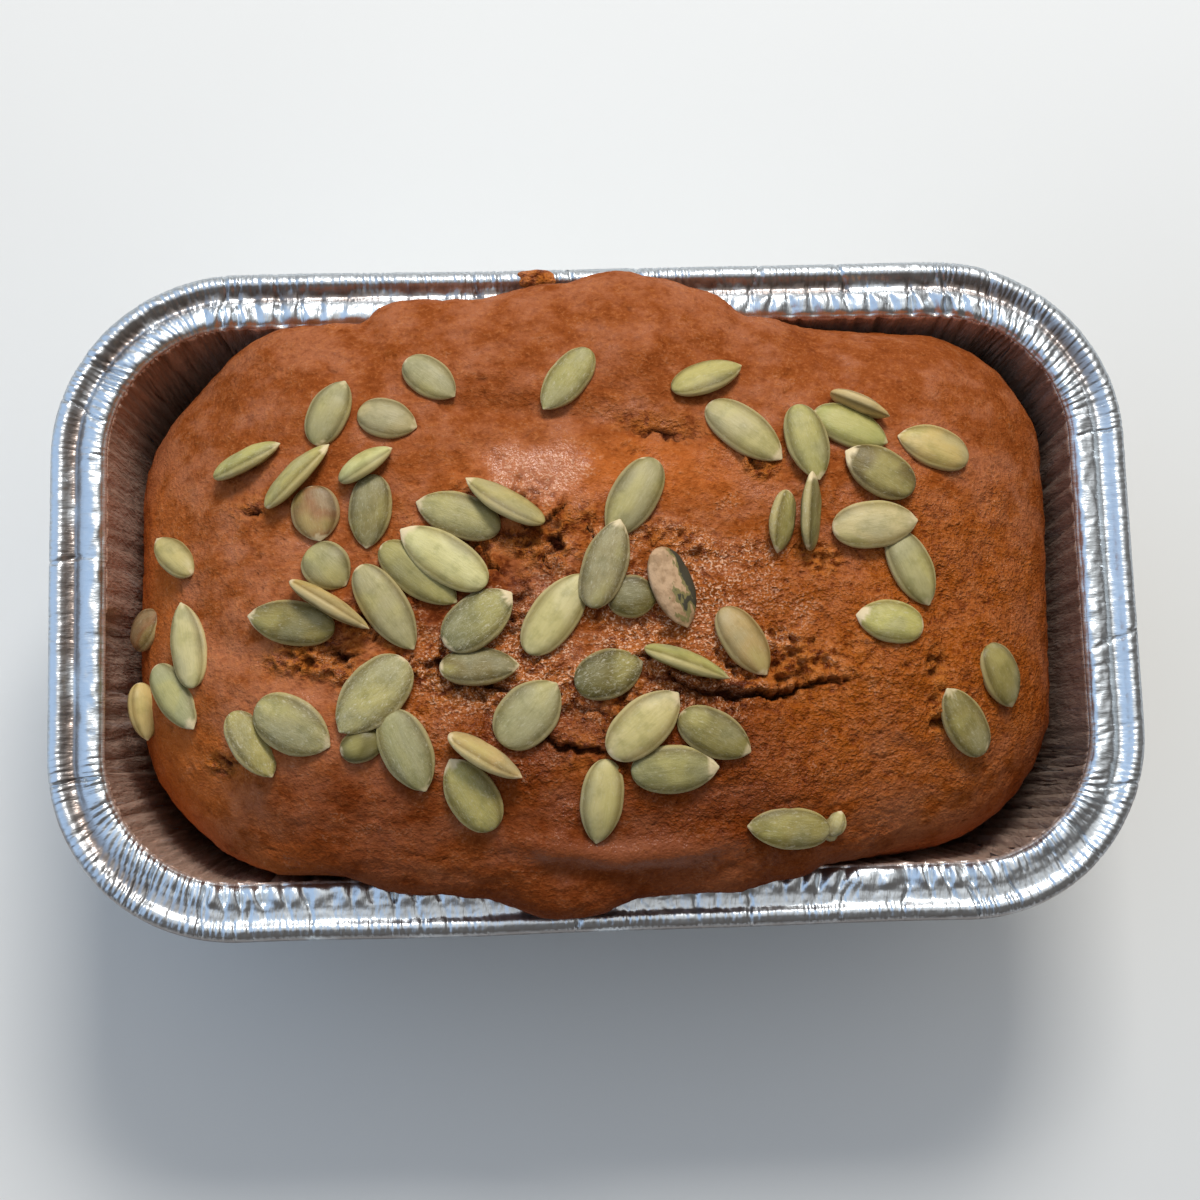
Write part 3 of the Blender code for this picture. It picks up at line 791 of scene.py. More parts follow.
class Graph:
    """The shader nodes of a material or of the world."""

    def __init__(self, owner):
        owner.use_nodes = True
        self.owner = owner
        self.tree = owner.node_tree
        self.tree.nodes.clear()

    def node(self, kind, settings=None, sockets=None, output=0):
        """Add a node with its settings, then the values or links of its sockets."""
        made = self.tree.nodes.new(kind)
        for name, setting in (settings or {}).items():
            setattr(made, name, setting)
        for name, value in (sockets or {}).items():
            socket = self.find(made.inputs, name)
            if isinstance(value, Socket):
                self.tree.links.new(value.output, socket)
            else:
                socket.default_value = value
        return None if output is None else Socket(self, self.find(made.outputs, output))

    def find(self, sockets, name):
        if isinstance(name, int):
            return sockets[name]
        return next(socket for socket in sockets if name in (socket.identifier, socket.name))

    def mix(self, amount, first, second, blend="MIX"):
        colours = {"Factor_Float": amount, "A_Color": self.colour(first), "B_Color": self.colour(second)}
        settings = {"data_type": "RGBA", "blend_type": blend}
        return self.node("ShaderNodeMix", settings, colours, "Result_Color")

    def multiply(self, amount, first, second):
        return self.mix(amount, first, second, "MULTIPLY")

    def colour(self, value):
        return value if isinstance(value, Socket) else (*value, 1.0)

    def kept(self, name, output="Fac"):
        return self.node("ShaderNodeAttribute", {"attribute_name": name}, output=output)

    def place(self, *sizes):
        """The place on the object, with one length in millimetres along each axis as its unit."""
        here = self.node("ShaderNodeTexCoord", output="Object")
        return self.scaled(here, [1.0 / (size * MM) for size in sizes])

    def scaled(self, vector, scale):
        return self.node("ShaderNodeVectorMath", {"operation": "MULTIPLY"}, {0: vector, 1: scale})

    def noise(self, vector, detail=2.0, roughness=0.5):
        sockets = {"Vector": vector, "Scale": 1.0, "Detail": detail, "Roughness": roughness}
        return self.node("ShaderNodeTexNoise", sockets=sockets)

    def rise(self, value, low, high):
        """0 where a value is under low, 1 where it is over high, and smooth between them."""
        settings = {"interpolation_type": "SMOOTHSTEP"}
        sockets = {"Value": value, "From Min": low, "From Max": high}
        return self.node("ShaderNodeMapRange", settings, sockets, "Result")

    def bump(self, height, distance=1.0):
        """A normal bent by a height, the distance being in millimetres."""
        sockets = {"Height": height, "Distance": distance * MM, "Strength": 1.0}
        return self.node("ShaderNodeBump", sockets=sockets)

    def finish(self, **sockets):
        """The material, with the surface's sockets named in small letters and underscores."""
        named = {
            name.replace("_", " ").title().replace("Ior", "IOR"): value for name, value in sockets.items()
        }
        shader = self.node("ShaderNodeBsdfPrincipled", sockets=named)
        self.node("ShaderNodeOutputMaterial", sockets={"Surface": shader}, output=None)
        return self.owner


def crust_finish(settings):
    """Orange-brown crust: drier skin outside, moist open grain in the middle, dark hollows; shade, light
    and glints are partly painted into its colour.
    """
    graph = Graph(bpy.data.materials.new("baked_crust"))
    broad = graph.noise(graph.place(26.0, 20.0, 26.0), 1.0)
    blotch = graph.noise(graph.place(5.5, 4.5, 5.5), 3.0, 0.6)
    coarse = graph.noise(graph.place(1.3, 1.1, 1.3), 2.0, 0.5)
    grain = graph.noise(graph.place(0.55, 0.48, 0.5), 2.0, 0.6)
    speck = graph.noise(graph.place(0.38, 0.34, 0.3), 1.0)
    lump = graph.noise(graph.place(2.6, 2.2, 2.6), 3.0, 0.6)
    names = ("rugged", "sparkling", "moist", "torn", "hollow_shade", "skinned", "edge")
    rugged, sparkling, moist, torn, hollow_shade, skinned, edge = (graph.kept(name) for name in names)
    open_grain = (moist * 0.6 + torn * 0.6 + 0.35).clamped() * (1.0 - 0.5 * skinned)
    wet = graph.rise(blotch + 0.30 * moist + 0.35 * skinned + 0.15 * torn - 0.12 * edge, 0.50, 0.85)

    colour = graph.mix(moist, settings.baked, settings.moist)
    dried = graph.rise(blotch + 0.40 * broad, 0.58, 0.84)
    colour = graph.mix(dried * (0.9 - 0.7 * moist), colour, settings.dull)
    # Paler skin, which on the low left slope is painted light.
    colour = graph.mix(graph.kept("pale") * 0.8, colour, PALE_AND_LIT_SKIN)
    colour = graph.mix(graph.rise(blotch, 0.46, 0.28) * 0.6, colour, settings.dark)
    colour = graph.mix(torn * graph.rise(coarse, 0.30, 0.55), colour, settings.torn)
    colour = graph.mix(skinned * 0.7, colour, TIGHT_SKIN)
    # Lighter lump tops and darker gaps between them: the crumb's own mottling with painted light and shade.
    colour = graph.mix(graph.rise(lump, 0.50, 0.64) * (0.15 + 0.55 * rugged), colour, LIT_LUMP_TOPS)
    colour = graph.multiply(graph.rise(lump, 0.47, 0.36) * (0.12 + 0.75 * rugged), colour, LUMP_SHADE)
    # Painted shade in the low places of the coarse and fine grain, and painted light on the grain's tops.
    colour = graph.multiply(graph.rise(coarse, 0.47, 0.30) * open_grain * 0.6, colour, COARSE_SHADE)
    grain_hollow_shade = graph.rise(grain, 0.48, 0.32) * (0.10 + 0.50 * open_grain)
    colour = graph.multiply(grain_hollow_shade, colour, GRAIN_SHADE)
    colour = graph.mix(graph.rise(grain, 0.53, 0.70) * 0.35, colour, LIT_GRAIN_TOPS)
    # Darker soaked crumb, and painted shade on the near slope.
    colour = graph.multiply(graph.kept("deep") * 0.75, colour, DEEP_SHADE)
    # Painted glints: pale specks in the base colour, clustered where the crust would catch the window.
    clusters = graph.rise(lump + 0.16 * sparkling, 0.50, 0.66)
    glints = graph.rise(speck, 0.52, 0.64) * clusters * (0.08 + 0.70 * sparkling) * (1.0 - 0.4 * skinned)
    colour = graph.mix(glints, colour, PAINTED_GLINTS)
    # The crust's own darker rim, and painted shade on the near slope and the far slope.
    colour = graph.multiply(edge * 0.7, colour, EDGE_SHADE)
    # Painted shade down in the cracks, rifts and pits.
    colour = graph.mix(hollow_shade, colour, settings.hollow_shade)

    relief = coarse * open_grain * 0.8 + grain * (0.10 + 0.65 * open_grain) + speck * 0.30 * open_grain
    normal = graph.bump(relief, 0.70)
    return graph.finish(
        base_color=colour,
        roughness=0.7,
        specular_ior_level=0.05,
        coat_weight=wet * (1.0 - hollow_shade) * (0.40 - 0.25 * moist + 0.20 * sparkling),
        coat_roughness=0.2,
        normal=normal,
        coat_normal=normal,
    )


def seed_finish():
    """Papery green skins, paler at the margin and the tip, with lengthwise streaks, and darker flanks as
    painted shade.
    """
    graph = Graph(bpy.data.materials.new("pumpkin_seed_skin"))
    local = graph.kept("local", "Vector")
    tone = graph.kept("tone", "Vector")
    rim, tip, char, dry = (graph.kept(name) for name in ("rim", "tip", "char", "dry"))
    across = graph.node("ShaderNodeSeparateXYZ", sockets={"Vector": local}, output="Y")
    cloud = graph.noise(graph.scaled(local, (0.16, 0.22, 0.22)), 1.0)
    mottle = graph.noise(graph.scaled(local, (0.45, 0.45, 0.45)), 3.0, 0.6)
    streak = graph.noise(graph.scaled(local, (0.35, 3.6, 3.6)), 3.0, 0.6)
    vein = graph.noise(graph.scaled(local, (0.6, 1.1, 1.1)), 5.0, 0.7)
    dust = graph.noise(graph.scaled(local, (1.1, 2.6, 2.6)), 3.0, 0.6)

    colour = graph.mix(graph.rise(cloud, 0.50, 0.66) * 0.45, tone, SKIN_WARM)
    colour = graph.mix(graph.rise(cloud, 0.50, 0.34) * 0.40, colour, SKIN_COOL)
    colour = graph.multiply(graph.rise(mottle, 0.55, 0.32) * 0.45, colour, SKIN_MOTTLE)
    colour = graph.multiply(graph.rise(streak, 0.50, 0.32) * 0.18, colour, SKIN_STREAK)
    colour = graph.mix(graph.rise(streak, 0.54, 0.72) * 0.12, colour, SKIN_LIGHT_STREAK)
    # Painted shade on the seed's flanks, which turn away from the light.
    colour = graph.multiply(graph.kept("flank_shade") * 0.85, colour, SKIN_FLANK_SHADE)
    colour = graph.mix(rim * 0.5, colour, SKIN_MARGIN)
    colour = graph.mix(tip, colour, SKIN_TIP)
    line = graph.rise(vein, 0.480, 0.50) * graph.rise(vein, 0.520, 0.50)
    colour = graph.mix(line * dry * 0.32, colour, SKIN_VEIN)
    colour = graph.mix(graph.rise(dust, 0.60, 0.68) * (dry * 0.40 + 0.03), colour, SKIN_DUST)
    scorch = graph.noise(graph.scaled(local, (0.30, 0.5, 0.5)), 3.0, 0.6) + 0.075 * across
    husk = graph.mix(graph.rise(mottle, 0.42, 0.60), HUSK_DARK, HUSK_LIGHT)
    husk = graph.mix(graph.rise(scorch, 0.50, 0.53), husk, HUSK_GREEN)
    husk = graph.mix(graph.rise(scorch, 0.575, 0.615), husk, HUSK_BLACK)
    colour = graph.mix(char, colour, husk)

    roughness = (0.40 + 0.25 * (mottle - 0.5) + 0.15 * dry).clamped()
    normal = graph.bump(streak * 0.04 + vein * (0.04 + 0.16 * dry))
    return graph.finish(base_color=colour, roughness=roughness, specular_ior_level=0.24, normal=normal)


def foil_finish(settings, used):
    """Bright crumpled foil; on the used side darkened in the valley, at the near hem and on the right end's
    wall as painted shade and reflection, and greased brown on the wall.
    """
    graph = Graph(bpy.data.materials.new("foil_inside" if used else "foil_outside"))
    local = graph.kept("local", "Vector")
    grease = graph.kept("grease") if used else 0.0
    dull = graph.kept("dull") if used else 0.0
    smear = graph.noise(graph.scaled(local, (0.12, 0.12, 0.2)), 3.0, 0.6)
    crinkle = graph.noise(graph.scaled(local, (1.3, 1.3, 0.35)), 3.0, 0.6)
    dent = graph.noise(graph.scaled(local, (0.45, 0.45, 0.4)), 2.0, 0.5)
    coated = grease * graph.rise(smear + grease * 0.6, 0.35, 0.75)
    # Painted shade and reflection in the valley and at the near hem.
    colour = graph.mix(dull * graph.rise(smear, 0.25, 0.55), settings.foil, settings.dulled)
    lined = graph.noise(graph.scaled(local, (0.8, 0.8, 0.07)), 3.0, 0.6)
    greased = graph.multiply(graph.rise(lined, 0.52, 0.34) * 0.4, settings.grease, GREASE_STREAK)
    # Painted highlight: bluish gleams along the grease streaks.
    greased = graph.mix(graph.rise(lined, 0.58, 0.66) * 0.22, greased, PAINTED_GREASE_GLEAM)
    # Painted shade on the greased wall at the right end.
    greased = graph.multiply(dull * 0.6, greased, GREASE_END_SHADE)
    colour = graph.mix(coated, colour, greased)
    roughness = (0.32 + 0.10 * coated + 0.14 * (smear - 0.5)).clamped()
    normal = graph.bump(crinkle * (0.16 + 0.30 * coated) + dent * 0.25)
    metallic = 1.0 - 0.45 * coated
    return graph.finish(base_color=colour, metallic=metallic, roughness=roughness, normal=normal)


# The bread


def wall_size(height):
    """Half length, half width and corner of the middle of the pan's wall at a height."""
    amount = height / (PAN_HEIGHT - WALL_DROP)
    return (
        between(BASE_LENGTH / 2.0, RIM_LENGTH / 2.0 - WALL_INSET, amount),
        between(BASE_WIDTH / 2.0, RIM_WIDTH / 2.0 - WALL_INSET, amount),
        between(BASE_CORNER, RIM_CORNER - WALL_INSET, amount),
    )


def beside_wall(stations, height, outset):
    """Points of the loaf's side at a height, the outset being measured from the pan's wall."""
    height = np.broadcast_to(height, stations.count)
    outset = np.broadcast_to(outset, stations.count)[:, None]
    risen = np.minimum(height / PAN_HEIGHT, 1.0)
    half_length, half_width, corner = wall_size(risen * PAN_HEIGHT)
    corners = [corner + more * risen for more in CORNER_ROUNDING]
    points = stations.outline(half_length - END_GAP * risen, half_width, corners, height)
    return points + stations.outward * outset


def side_rings(stations):
    """Rings up the side of the loaf, from its base to the crust's edge."""
    guide = beside_wall(stations, PAN_HEIGHT, 0.0)
    outward_y = stations.outward[:, 1]
    far = smooth(0.5 + guide[:, 1] / (RIM_WIDTH * 0.6))
    top = PAN_HEIGHT + between(along(EDGE_NEAR, guide[:, 0]), along(EDGE_FAR, guide[:, 0]), far)
    reach = np.where(outward_y > 0.0, along(REACH_FAR, guide[:, 0]), along(REACH_NEAR, guide[:, 0]))
    reach = np.where(np.abs(outward_y) > 0.99, reach, 0.0)
    run = smooth(reach / LIP_START)
    reach = reach + run * 0.5 * field(guide, 5.0)
    neck = np.minimum(top - NECK_DROP, PAN_HEIGHT - LIP_ROUNDING)
    under = PAN_HEIGHT + LIP_OVER_RIM
    throat = beside_wall(stations, neck + THROAT_RISE, -CLEARANCE)
    edge = beside_wall(stations, top, -CLEARANCE)
    lip = beside_wall(stations, under, np.maximum(reach - LIP_ROUNDING, LIP_ROUNDING / 2.0))
    run = run[:, None]
    return [
        beside_wall(stations, (SOLID_FOIL + CLEARANCE) / 2.0, -CLEARANCE - FOOT_ROUNDING),
        beside_wall(stations, FOOT_HEIGHT, -CLEARANCE),
        beside_wall(stations, neck / 2.0, -CLEARANCE),
        beside_wall(stations, neck, -CLEARANCE),
        between(throat, beside_wall(stations, under, 0.0), run),
        between(between(throat, edge, 0.6), lip, run),
        between(edge, beside_wall(stations, top, reach), run),
    ]


def dome_height(x, y, settings):
    """The crown's height, before its shoulders round down to the crust's edge."""
    fall = DOME_FALL_LONG * (x / (RIM_LENGTH / 2.0)) ** 2 + DOME_FALL_WIDE * (y / (RIM_WIDTH / 2.0)) ** 2
    height = PAN_HEIGHT + settings.crown / MM - fall
    flat = np.stack([x, y, np.zeros(x.shape)], axis=1)
    lumps = field(flat, (LUMP_LENGTH, LUMP_WIDTH, 1.0), (0.0, 0.0, LUMP_PATTERN))
    height += settings.lumps / MM * lumps
    for mound_x, mound_y, radius, rise in MOUNDS:
        height += rise * bell(np.hypot(x - mound_x, y - mound_y), radius)
    for path, half_width, depth in FOLDS:
        height -= depth * bell(beside_path(x, y, path)[0], half_width)
    return height


def crust_ring(edge, stations, inward, settings):
    """A ring of the top crust, from its edge at inward 0 to the crown line at 1."""
    crown = stations.outline(CROWN_HALF_LENGTH, 0.0, (0.0,) * 4)
    fullness = between(END_FULLNESS, SIDE_FULLNESS, stations.outward[:, 1] ** 2)
    left = 1.0 - min(inward / SHOULDER, 1.0)
    rise = (1.0 - left**fullness) ** (1.0 / fullness)
    points = between(edge, crown, inward)
    points[:, 2] = between(edge[:, 2], dome_height(points[:, 0], points[:, 1], settings), rise)
    return points


def loaf_rings(stations, rings, crowding, settings):
    """Rings of the smooth bread from its base to the crown line, and the first of the crust's."""
    side = side_rings(stations)
    crust = [
        crust_ring(side[-1], stations, (ring / rings) ** crowding, settings) for ring in range(1, rings + 1)
    ]
    lip = through(side[3:] + crust[2:3], LIP_STEPS)
    lip = lip[: LIP_STEPS * 3 + 1]
    return np.array(side[:3] + lip + crust), 3 + len(lip)


def grain_of(points, settings):
    """Height of the crumb, cracks and pits over the smooth bread, and the masks that colour it."""
    x, y = points[:, 0], points[:, 1]
    bent_x = x + 0.8 * field(points, 2.1, 7.0) + 0.5 * field(points, 0.9, 3.0)
    bent_y = y + 0.9 * field(points, 2.1, 19.0) + 0.5 * field(points, 0.9, 31.0)
    ragged = field(points, RAGGED_SIZE, 11.0)
    torn = smooth(1.5 * in_patches(x, y, TEARS) + 0.9 * ragged - 0.45)
    moist = smooth(1.35 * in_patches(x, y, MOIST) + 0.35 * ragged - 0.15)
    skinned = smooth(1.6 * in_patches(x, y, SKINNED) - 0.35 + 0.3 * ragged)
    # Darker soaked crumb, and painted shade on the near slope.
    deep = smooth(1.2 * in_patches(x, y, DEEP_AND_SHADED) + 0.2 * ragged - 0.05)
    # Paler crust, painted light on the low left slope.
    pale = smooth(1.2 * in_patches(x, y, PALE_AND_LIT) + 0.3 * ragged - 0.05)
    rugged = smooth(1.3 * in_patches(x, y, RUGGED) + 0.5 * ragged - 0.1)
    sparkling = smooth(1.3 * in_patches(x, y, SPARKLING) + 0.5 * ragged - 0.1)
    torn = np.maximum(torn, rugged * smooth(1.8 * field(points, 4.2, 71.0) + 0.25))

    coarse = field(points, COARSE_SIZE, 5.0)
    medium = field(points, MEDIUM_SIZE, 13.0)
    crumb = settings.crumb / MM
    rough = 1.0 - 1.8 * np.abs(coarse)
    height = crumb * torn * (rough - 0.75 + medium)
    height += crumb * rugged * LUMP_DEPTH * field(points, LUMP_SIZE, 61.0)
    bent = np.stack([bent_x, bent_y, points[:, 2]], axis=1)
    winding = field(bent, RIFT_SIZE, 83.0)
    broken = rugged * smooth(2.4 * field(points, 6.5, 91.0) + 0.45)
    rift = broken * bell(winding, RIFT_WIDTH)
    height -= RIFT_DEPTH * crumb * rift
    height += RIFT_LIP_HEIGHT * crumb * broken * bell(winding - RIFT_LIP_PLACE, RIFT_LIP_WIDTH)
    torn = np.maximum(torn, 0.9 * broken * bell(winding, 0.15))
    height += (0.16 + 0.10 * moist - 0.12 * skinned) * (0.6 * coarse + 0.8 * medium)
    height += 0.20 * field(points, (3.4, 2.6, 3.0), 23.0)
    height += (0.25 + 0.25 * moist) * field(points, (8.0, 5.5, 8.0), 47.0)
    # The next lines build the mask of painted shade: where the crumb lies low, in the rifts, in the cracks
    # and in the pits.
    hollow_shade = np.maximum(np.clip(-height / crumb - 0.30, 0.0, 0.6) * torn, 0.6 * rift)

    for path, half_width, depth, lip in CRACKS:
        distance, side, travel = beside_path(bent_x, bent_y, path)
        opening = np.sin(math.pi * np.clip(travel, 0.06, 0.94)) ** 0.5
        slit = smooth(1.45 - distance / (half_width * opening)) * opening
        away = distance * side
        torn_lip = bell(away - 1.1, 0.9) * (1.0 + 1.2 * coarse) * opening
        height += lip * torn_lip * (1.0 - slit) - depth * slit
        hollow_shade = np.maximum(hollow_shade, slit)
        torn = np.maximum(torn, 0.8 * bell(away - 1.0, 1.6) * opening * (lip > 0.0))

    pit = field(points, PIT_SIZE, 43.0)
    pitted = smooth((pit - between(0.62, 0.50, moist)) / 0.12)
    height -= PIT_DEPTH * pitted * (1.0 - 0.6 * skinned)
    hollow_shade = np.maximum(hollow_shade, 0.35 * pitted)

    below, side, travel = beside_path(x, y, LEDGE)
    near = smooth(travel / 0.2) * smooth((1.0 - travel) / 0.2)
    height += near * (0.7 * bell(below * side - 0.4, 1.6) - 0.9 * bell(below * side + 2.6, 2.4))
    masks = {"torn": torn, "moist": moist, "skinned": skinned, "hollow_shade": hollow_shade, "deep": deep, "pale": pale}
    masks.update(rugged=rugged, sparkling=sparkling)
    return height, masks


def make_crust(finish, settings):
    """The bread from its base to its crown, with the crumb raised on what shows."""
    stations = Stations(*CRUST_STEPS)
    rings, first_crust = loaf_rings(stations, CRUST_RINGS, RING_CROWDING, settings)
    count = stations.count
    normals = normals_of(rings)
    normals[-1] = (0.0, 0.0, 1.0)
    level = np.arange(len(rings)) - (first_crust - 2 * LIP_STEPS)
    shown = np.repeat(smooth(level / LIP_STEPS), count)
    points = rings.reshape(-1, 3)
    height, masks = grain_of(points, settings)
    points = points + normals.reshape(-1, 3) * (height * shown)[:, None]
    inward = (np.arange(len(rings)) - first_crust) / CRUST_RINGS
    edge = np.repeat(1.0 - smooth(inward / EDGE_BAND), count)
    # Painted shade: the edge darkens fully on the near side, and the whole far slope is darkened a little.
    near_side = smooth(-points[:, 1] / 30.0) * smooth((points[:, 0] + 45.0) / 20.0)
    edge *= between(END_DARKNESS, 1.0, near_side)
    edge = np.maximum(edge, FAR_SLOPE_SHADE * smooth((points[:, 1] - 4.0) / 30.0))
    masks["hollow_shade"] = masks["hollow_shade"] * shown
    faces = ring_faces(len(rings), count)
    piece = make_piece("bread_crust", points, faces, finish, edge=edge, **masks)
    weld(piece, 1e-6)
    dress(piece, "loaf")


def make_drip(finish):
    """A drip of batter that has baked onto the far side of the rim."""
    turn = 2.0 * math.pi * np.arange(DRIP_AROUND) / DRIP_AROUND
    reach = np.linspace(1.0, DRIP_TOP, DRIP_RINGS)
    rings = []
    for part in reach:
        circle = np.stack([np.cos(turn), np.sin(turn), np.zeros(DRIP_AROUND)], axis=1)
        ragged = 1.0 + 0.45 * field(circle, 0.8, 5.0)
        ring = circle * (np.array(DRIP_SIZE) * part) * ragged[:, None]
        ring[:, 2] = DRIP_SIZE[2] * (1.0 - part**2.6)
        ring += np.array(DRIP_PLACE) + (0.0, 0.0, PAN_HEIGHT)
        ring[:, 2] += 0.5 * field(ring, 1.3, 3.0) * (1.0 - part**4)
        rings.append(ring)
    under = rings[0].copy()
    under[:, 2] -= DRIP_DEPTH
    rings = np.array([under] + rings)
    faces = ring_faces(len(rings), DRIP_AROUND)
    faces.append(list(range((len(rings) - 1) * DRIP_AROUND, len(rings) * DRIP_AROUND)))
    torn = np.full(rings.shape[0] * DRIP_AROUND, 0.8)
    piece = make_piece("batter_drip", rings.reshape(-1, 3), faces, finish, torn=torn, rugged=torn)
    dress(piece, "loaf")


# The seeds


def smooth_bread_tree(settings):
    """The smooth bread, to lay the seeds on."""
    stations = Stations(*TREE_STEPS)
    rings, _ = loaf_rings(stations, TREE_RINGS, RING_CROWDING, settings)
    faces = ring_faces(len(rings), stations.count)
    return BVHTree.FromPolygons((rings.reshape(-1, 3) * MM).tolist(), faces[1:])


def seed_form(length, width, thickness, wrinkle, bend, twist, number):
    """Points of one seed about its middle, pointed end at +X, with the masks that colour it."""
    end = -np.cos(math.pi * np.arange(1, SEED_BANDS) / SEED_BANDS)
    turn = 2.0 * math.pi * np.arange(SEED_AROUND) / SEED_AROUND
    end, turn = (grid.ravel() for grid in np.meshgrid(end, turn, indexing="ij"))
    body = np.clip(end / SEED_BODY, 0.0, 1.0)
    pointed = np.sqrt(1.0 - body**2) * (1.0 - SEED_TAPER * body**2)
    swell = np.where(end > 0.0, pointed, np.sqrt(1.0 - np.abs(end) ** SEED_BLUNTNESS))
    nub = SEED_NUB * np.sqrt(np.clip(1.0 - ((end - NUB_PLACE) / NUB_LENGTH) ** 2, 0.0, 1.0))
    swell = np.maximum(swell, nub)
    flat, deep = np.cos(turn), np.sin(turn)
    margin = smooth((np.abs(flat) - 0.86) / 0.12)
    x = end * length / 2.0
    y = swell * flat * width / 2.0
    z = swell * deep * thickness / 2.0
    local = np.stack([x, y, z], axis=1)
    local[:, 0] += number * SKIN_SPACING
    creases = field(local, (3.2, 1.1, 2.0)) + 0.6 * field(local, (1.6, 0.7, 1.0), 9.0)
    shape = np.stack([x, y, z], axis=1)
    push = np.stack([np.zeros(x.shape), 0.35 * flat, deep], axis=1)
    shape += push * (wrinkle * creases * swell)[:, None]
    shape[:, 2] += bend * (end**2 - 0.3) + 0.10 * margin * np.sign(deep) * swell
    shape[:, 1] += twist * end * shape[:, 2]
    ends = np.array([[-length / 2.0, 0.0, bend * 0.7], [length / 2.0, 0.0, bend * 0.7]])
    shape = np.concatenate([shape, ends])
    local = np.concatenate([local, ends + (number * SKIN_SPACING, 0.0, 0.0)])
    margin = np.concatenate([margin * smooth(swell / 0.3), [0.0, 0.0]])
    # Painted shade: the flanks of each seed are marked to be darkened.
    flank_shade = np.concatenate([smooth((np.abs(flat) - 0.40) / 0.55) * (1.0 - margin[:-2]), [0.0, 0.0]])
    return shape, local, margin, flank_shade, np.concatenate([end, [-1.0, 1.0]])


def seed_faces(first):
    """Faces of one seed whose points start at a number."""
    bands = SEED_BANDS - 1
    here = np.arange(SEED_AROUND)
    following = np.roll(here, -1)
    faces = []
    for band in range(bands - 1):
        low, high = first + band * SEED_AROUND, first + (band + 1) * SEED_AROUND
        faces += np.stack([low + here, low + following, high + following, high + here], axis=1).tolist()
    blunt = first + bands * SEED_AROUND
    last = first + (bands - 1) * SEED_AROUND
    for i, j in zip(here.tolist(), following.tolist()):
        faces.append([blunt, first + j, first + i])
        faces.append([blunt + 1, last + i, last + j])
    return faces


def seed_turn(tree, seed, thickness):
    """Where a seed's middle lies, in millimetres, and how it is turned."""
    x, y, heading, _, width, roll, lift = seed[:7]
    found, normal, _, _ = tree.ray_cast(Vector((x * MM, y * MM, HIGH_ABOVE)), Vector((0.0, 0.0, -1.0)))
    if found is None:
        raise RuntimeError(f"the seed at {x}, {y} lies beside the bread")
    up = (normal + Vector((0.0, 0.0, SEED_LEVELLING))).normalized()
    tip = Vector((math.cos(math.radians(heading)), math.sin(math.radians(heading)), 0.0))
    tip = (tip - up * tip.dot(up)).normalized()
    across = up.cross(tip)
    turn = Matrix((tip, across, up)).transposed() @ Matrix.Rotation(math.radians(roll), 3, "X")
    thick = thickness * math.cos(math.radians(roll)) + width * abs(math.sin(math.radians(roll)))
    place = found / MM + up * ((0.5 - SEED_SUNK) * thick + lift)
    return np.array(place), np.array(turn)


def make_seeds(crust, settings):
    """All the seeds as one mesh, each with its own bend, twist and tone."""
    tree = smooth_bread_tree(crust)
    draw = np.random.default_rng(settings.seed)
    thickness = settings.thickness / MM
    points, faces = [], []
    values = {name: [] for name in ("local", "rim", "flank_shade", "tip", "tone", "char", "dry")}
    for number, seed in enumerate(SEEDS):
        length, width, tone, wrinkling, pale_tip = seed[3], seed[4], seed[7], seed[8], seed[9]
        bend, twist = draw.normal(0.0, BEND_SPREAD), draw.normal(0.0, TWIST_SPREAD)
        wrinkle = settings.wrinkles / MM * (0.25 + wrinkling)
        thick = thickness * min(1.0, (width / FULL_WIDTH) ** 2)
        shape, local, rim, flank_shade, end = seed_form(length, width, thick, wrinkle, bend, twist, number)
        place, turn = seed_turn(tree, seed, thick)
        faces += seed_faces(number * len(shape))
        points.append(shape @ turn.T + place)
        shade = np.array(TONES[tone]) * draw.uniform(*TONE_RANGE) * draw.uniform(*HUE_RANGE, 3)
        values["local"].append(local)
        values["rim"].append(rim)
        values["flank_shade"].append(flank_shade)
        ragged = 0.14 * field(local, 1.3, 51.0) + 0.09 * field(local, 0.45, 57.0)
        pale = between(0.4, 1.0, pale_tip) * smooth((end + ragged - 0.92 + 0.18 * pale_tip) / 0.06)
        blunt = draw.choice(BLUNT_PATCHES) * smooth((ragged - end - 0.93) / 0.05)
        values["tip"].append(np.maximum(pale, blunt))
        values["tone"].append(np.tile(shade, (len(shape), 1)))
        values["char"].append(np.full(len(shape), float(seed[:2] == CHARRED_SEED)))
        values["dry"].append(np.full(len(shape), wrinkling))
    values = {name: np.concatenate(parts) for name, parts in values.items()}
    piece = make_piece("pumpkin_seeds", np.concatenate(points), faces, seed_finish(), **values)
    dress(piece, "loaf")


# The pan


def rim_walk(stations):
    """Distance in millimetres round the rim's outer line to each station."""
    rim = stations.outline(RIM_LENGTH / 2.0, RIM_WIDTH / 2.0, (RIM_CORNER,) * 4)
    steps = np.linalg.norm(np.roll(rim, -1, axis=0) - rim, axis=1)
    return np.concatenate([[0.0], np.cumsum(steps)[:-1]])


def on_circle(walk, level=0.0):
    """Points on a circle as long as the rim's outer line, where noise meets its own start."""
    radius = RIM_ROUND / (2.0 * math.pi)
    level = np.broadcast_to(level, walk.shape)
    return np.stack([radius * np.cos(walk / radius), radius * np.sin(walk / radius), level], axis=-1)


def on_track(walk, size, seed):
    """Soft noise about zero along a walk round the rim."""
    return field(on_circle(walk), size, seed)


def strength(walk, size, seed):
    """A slowly changing number about 1 along a walk."""
    return np.clip(1.0 + 1.8 * on_track(walk, size, seed), 0.1, 2.0)


